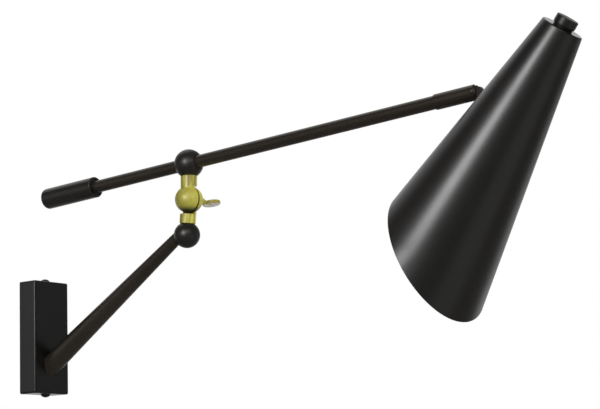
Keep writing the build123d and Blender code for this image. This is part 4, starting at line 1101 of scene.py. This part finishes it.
# %% World
world = bpy.data.worlds.new("studio")
bpy.context.scene.world = world
world.use_nodes = True
tree = world.node_tree
tree.nodes.clear()
output = tree.nodes.new("ShaderNodeOutputWorld")
background = tree.nodes.new("ShaderNodeBackground")
tree.links.new(background.outputs["Background"], output.inputs["Surface"])
ray = tree.nodes.new("ShaderNodeLightPath").outputs
mirrored_level, mirrored_tone = mirrored_room(tree)
matt_level, matt_tone = matt_room(tree)
tone = mix_colour(tree, ray["Is Glossy Ray"], WHITE, mirrored_tone)
plug(tree, background.inputs["Color"], mix_colour(tree, ray["Is Diffuse Ray"], tone, matt_tone))
plain = arithmetic(tree, "MAXIMUM", ray["Is Camera Ray"], ray["Is Transmission Ray"])
glossy = arithmetic(tree, "MULTIPLY", ray["Is Glossy Ray"], mirrored_level)
ambient = arithmetic(tree, "MULTIPLY", ray["Is Diffuse Ray"], matt_level)
level = arithmetic(tree, "MAXIMUM", plain, arithmetic(tree, "MAXIMUM", glossy, ambient))
plug(tree, background.inputs["Strength"], level)
print("world glows white to the camera and up to", LIFT_GLOW, "to matt surfaces")

# %% [markdown]
# ## The lamps
# A leaning soft box, two metres away, gives the shade its long streak and the balls their gleam, and a
# strip above the camera draws that gleam out to the right. Nearer boxes would throw the two gleams out of
# line with the streak. Both are there for their reflections alone, so matt surfaces don't see them. A weak
# fill in front and a panel at the left lift the rest, and a small panel beside the cover, narrowed by its
# spread, lights little but the cover's left side.

# %% Lamps
AIM = (0.45, 0.0, 0.10)
BALLS_AIM = (0.2, 0.0, 0.12)
WALL_FIXING = (0.0, 0.0, 0.0)
COVER_SIDE = (0.0, -0.06, 0.0)
COVER_SPREAD = math.radians(30)
KEY_LEAN = (0.52, 0.0, 0.854)


def softbox(name, place, aim, width, height, radiance, upright=(0, 0, 1)):
    """A flat soft lamp of a given brightness that faces a point, with its height along a direction."""
    lamp = bpy.data.lights.new(name, "AREA")
    lamp.shape = "RECTANGLE"
    lamp.size = width
    lamp.size_y = height
    lamp.energy = radiance * math.pi * width * height
    holder = add_object(name, lamp)
    back = (Vector(place) - Vector(aim)).normalized()
    right = Vector(upright).cross(back).normalized()
    holder.matrix_world = Matrix.Translation(place) @ axes_matrix(right, back.cross(right), back)
    print(name, "radiance", radiance, "over", round(width * height, 2), "square metres")
    return holder


key = softbox("key", (0.50, -2.0, 0.555), AIM, width=0.62, height=0.58, radiance=21.8, upright=KEY_LEAN)
strip = softbox("top_strip", (1.145, -1.01, 0.63), BALLS_AIM, width=1.4, height=0.33, radiance=3.4)
for gleam in (key, strip):
    gleam.visible_diffuse = False
softbox("front_fill", (1.62, -0.06, -0.47), AIM, width=0.9, height=0.9, radiance=0.35)
softbox("left_panel", (-0.95, -1.25, 0.25), WALL_FIXING, width=0.4, height=1.2, radiance=0.6)
panel = softbox("cover_panel", (-0.21, -0.333, 0.056), COVER_SIDE, width=0.14, height=0.36, radiance=0.026)
panel.data.spread = COVER_SPREAD
panel.visible_camera = False
bpy.context.scene.view_settings.view_transform = "Standard"
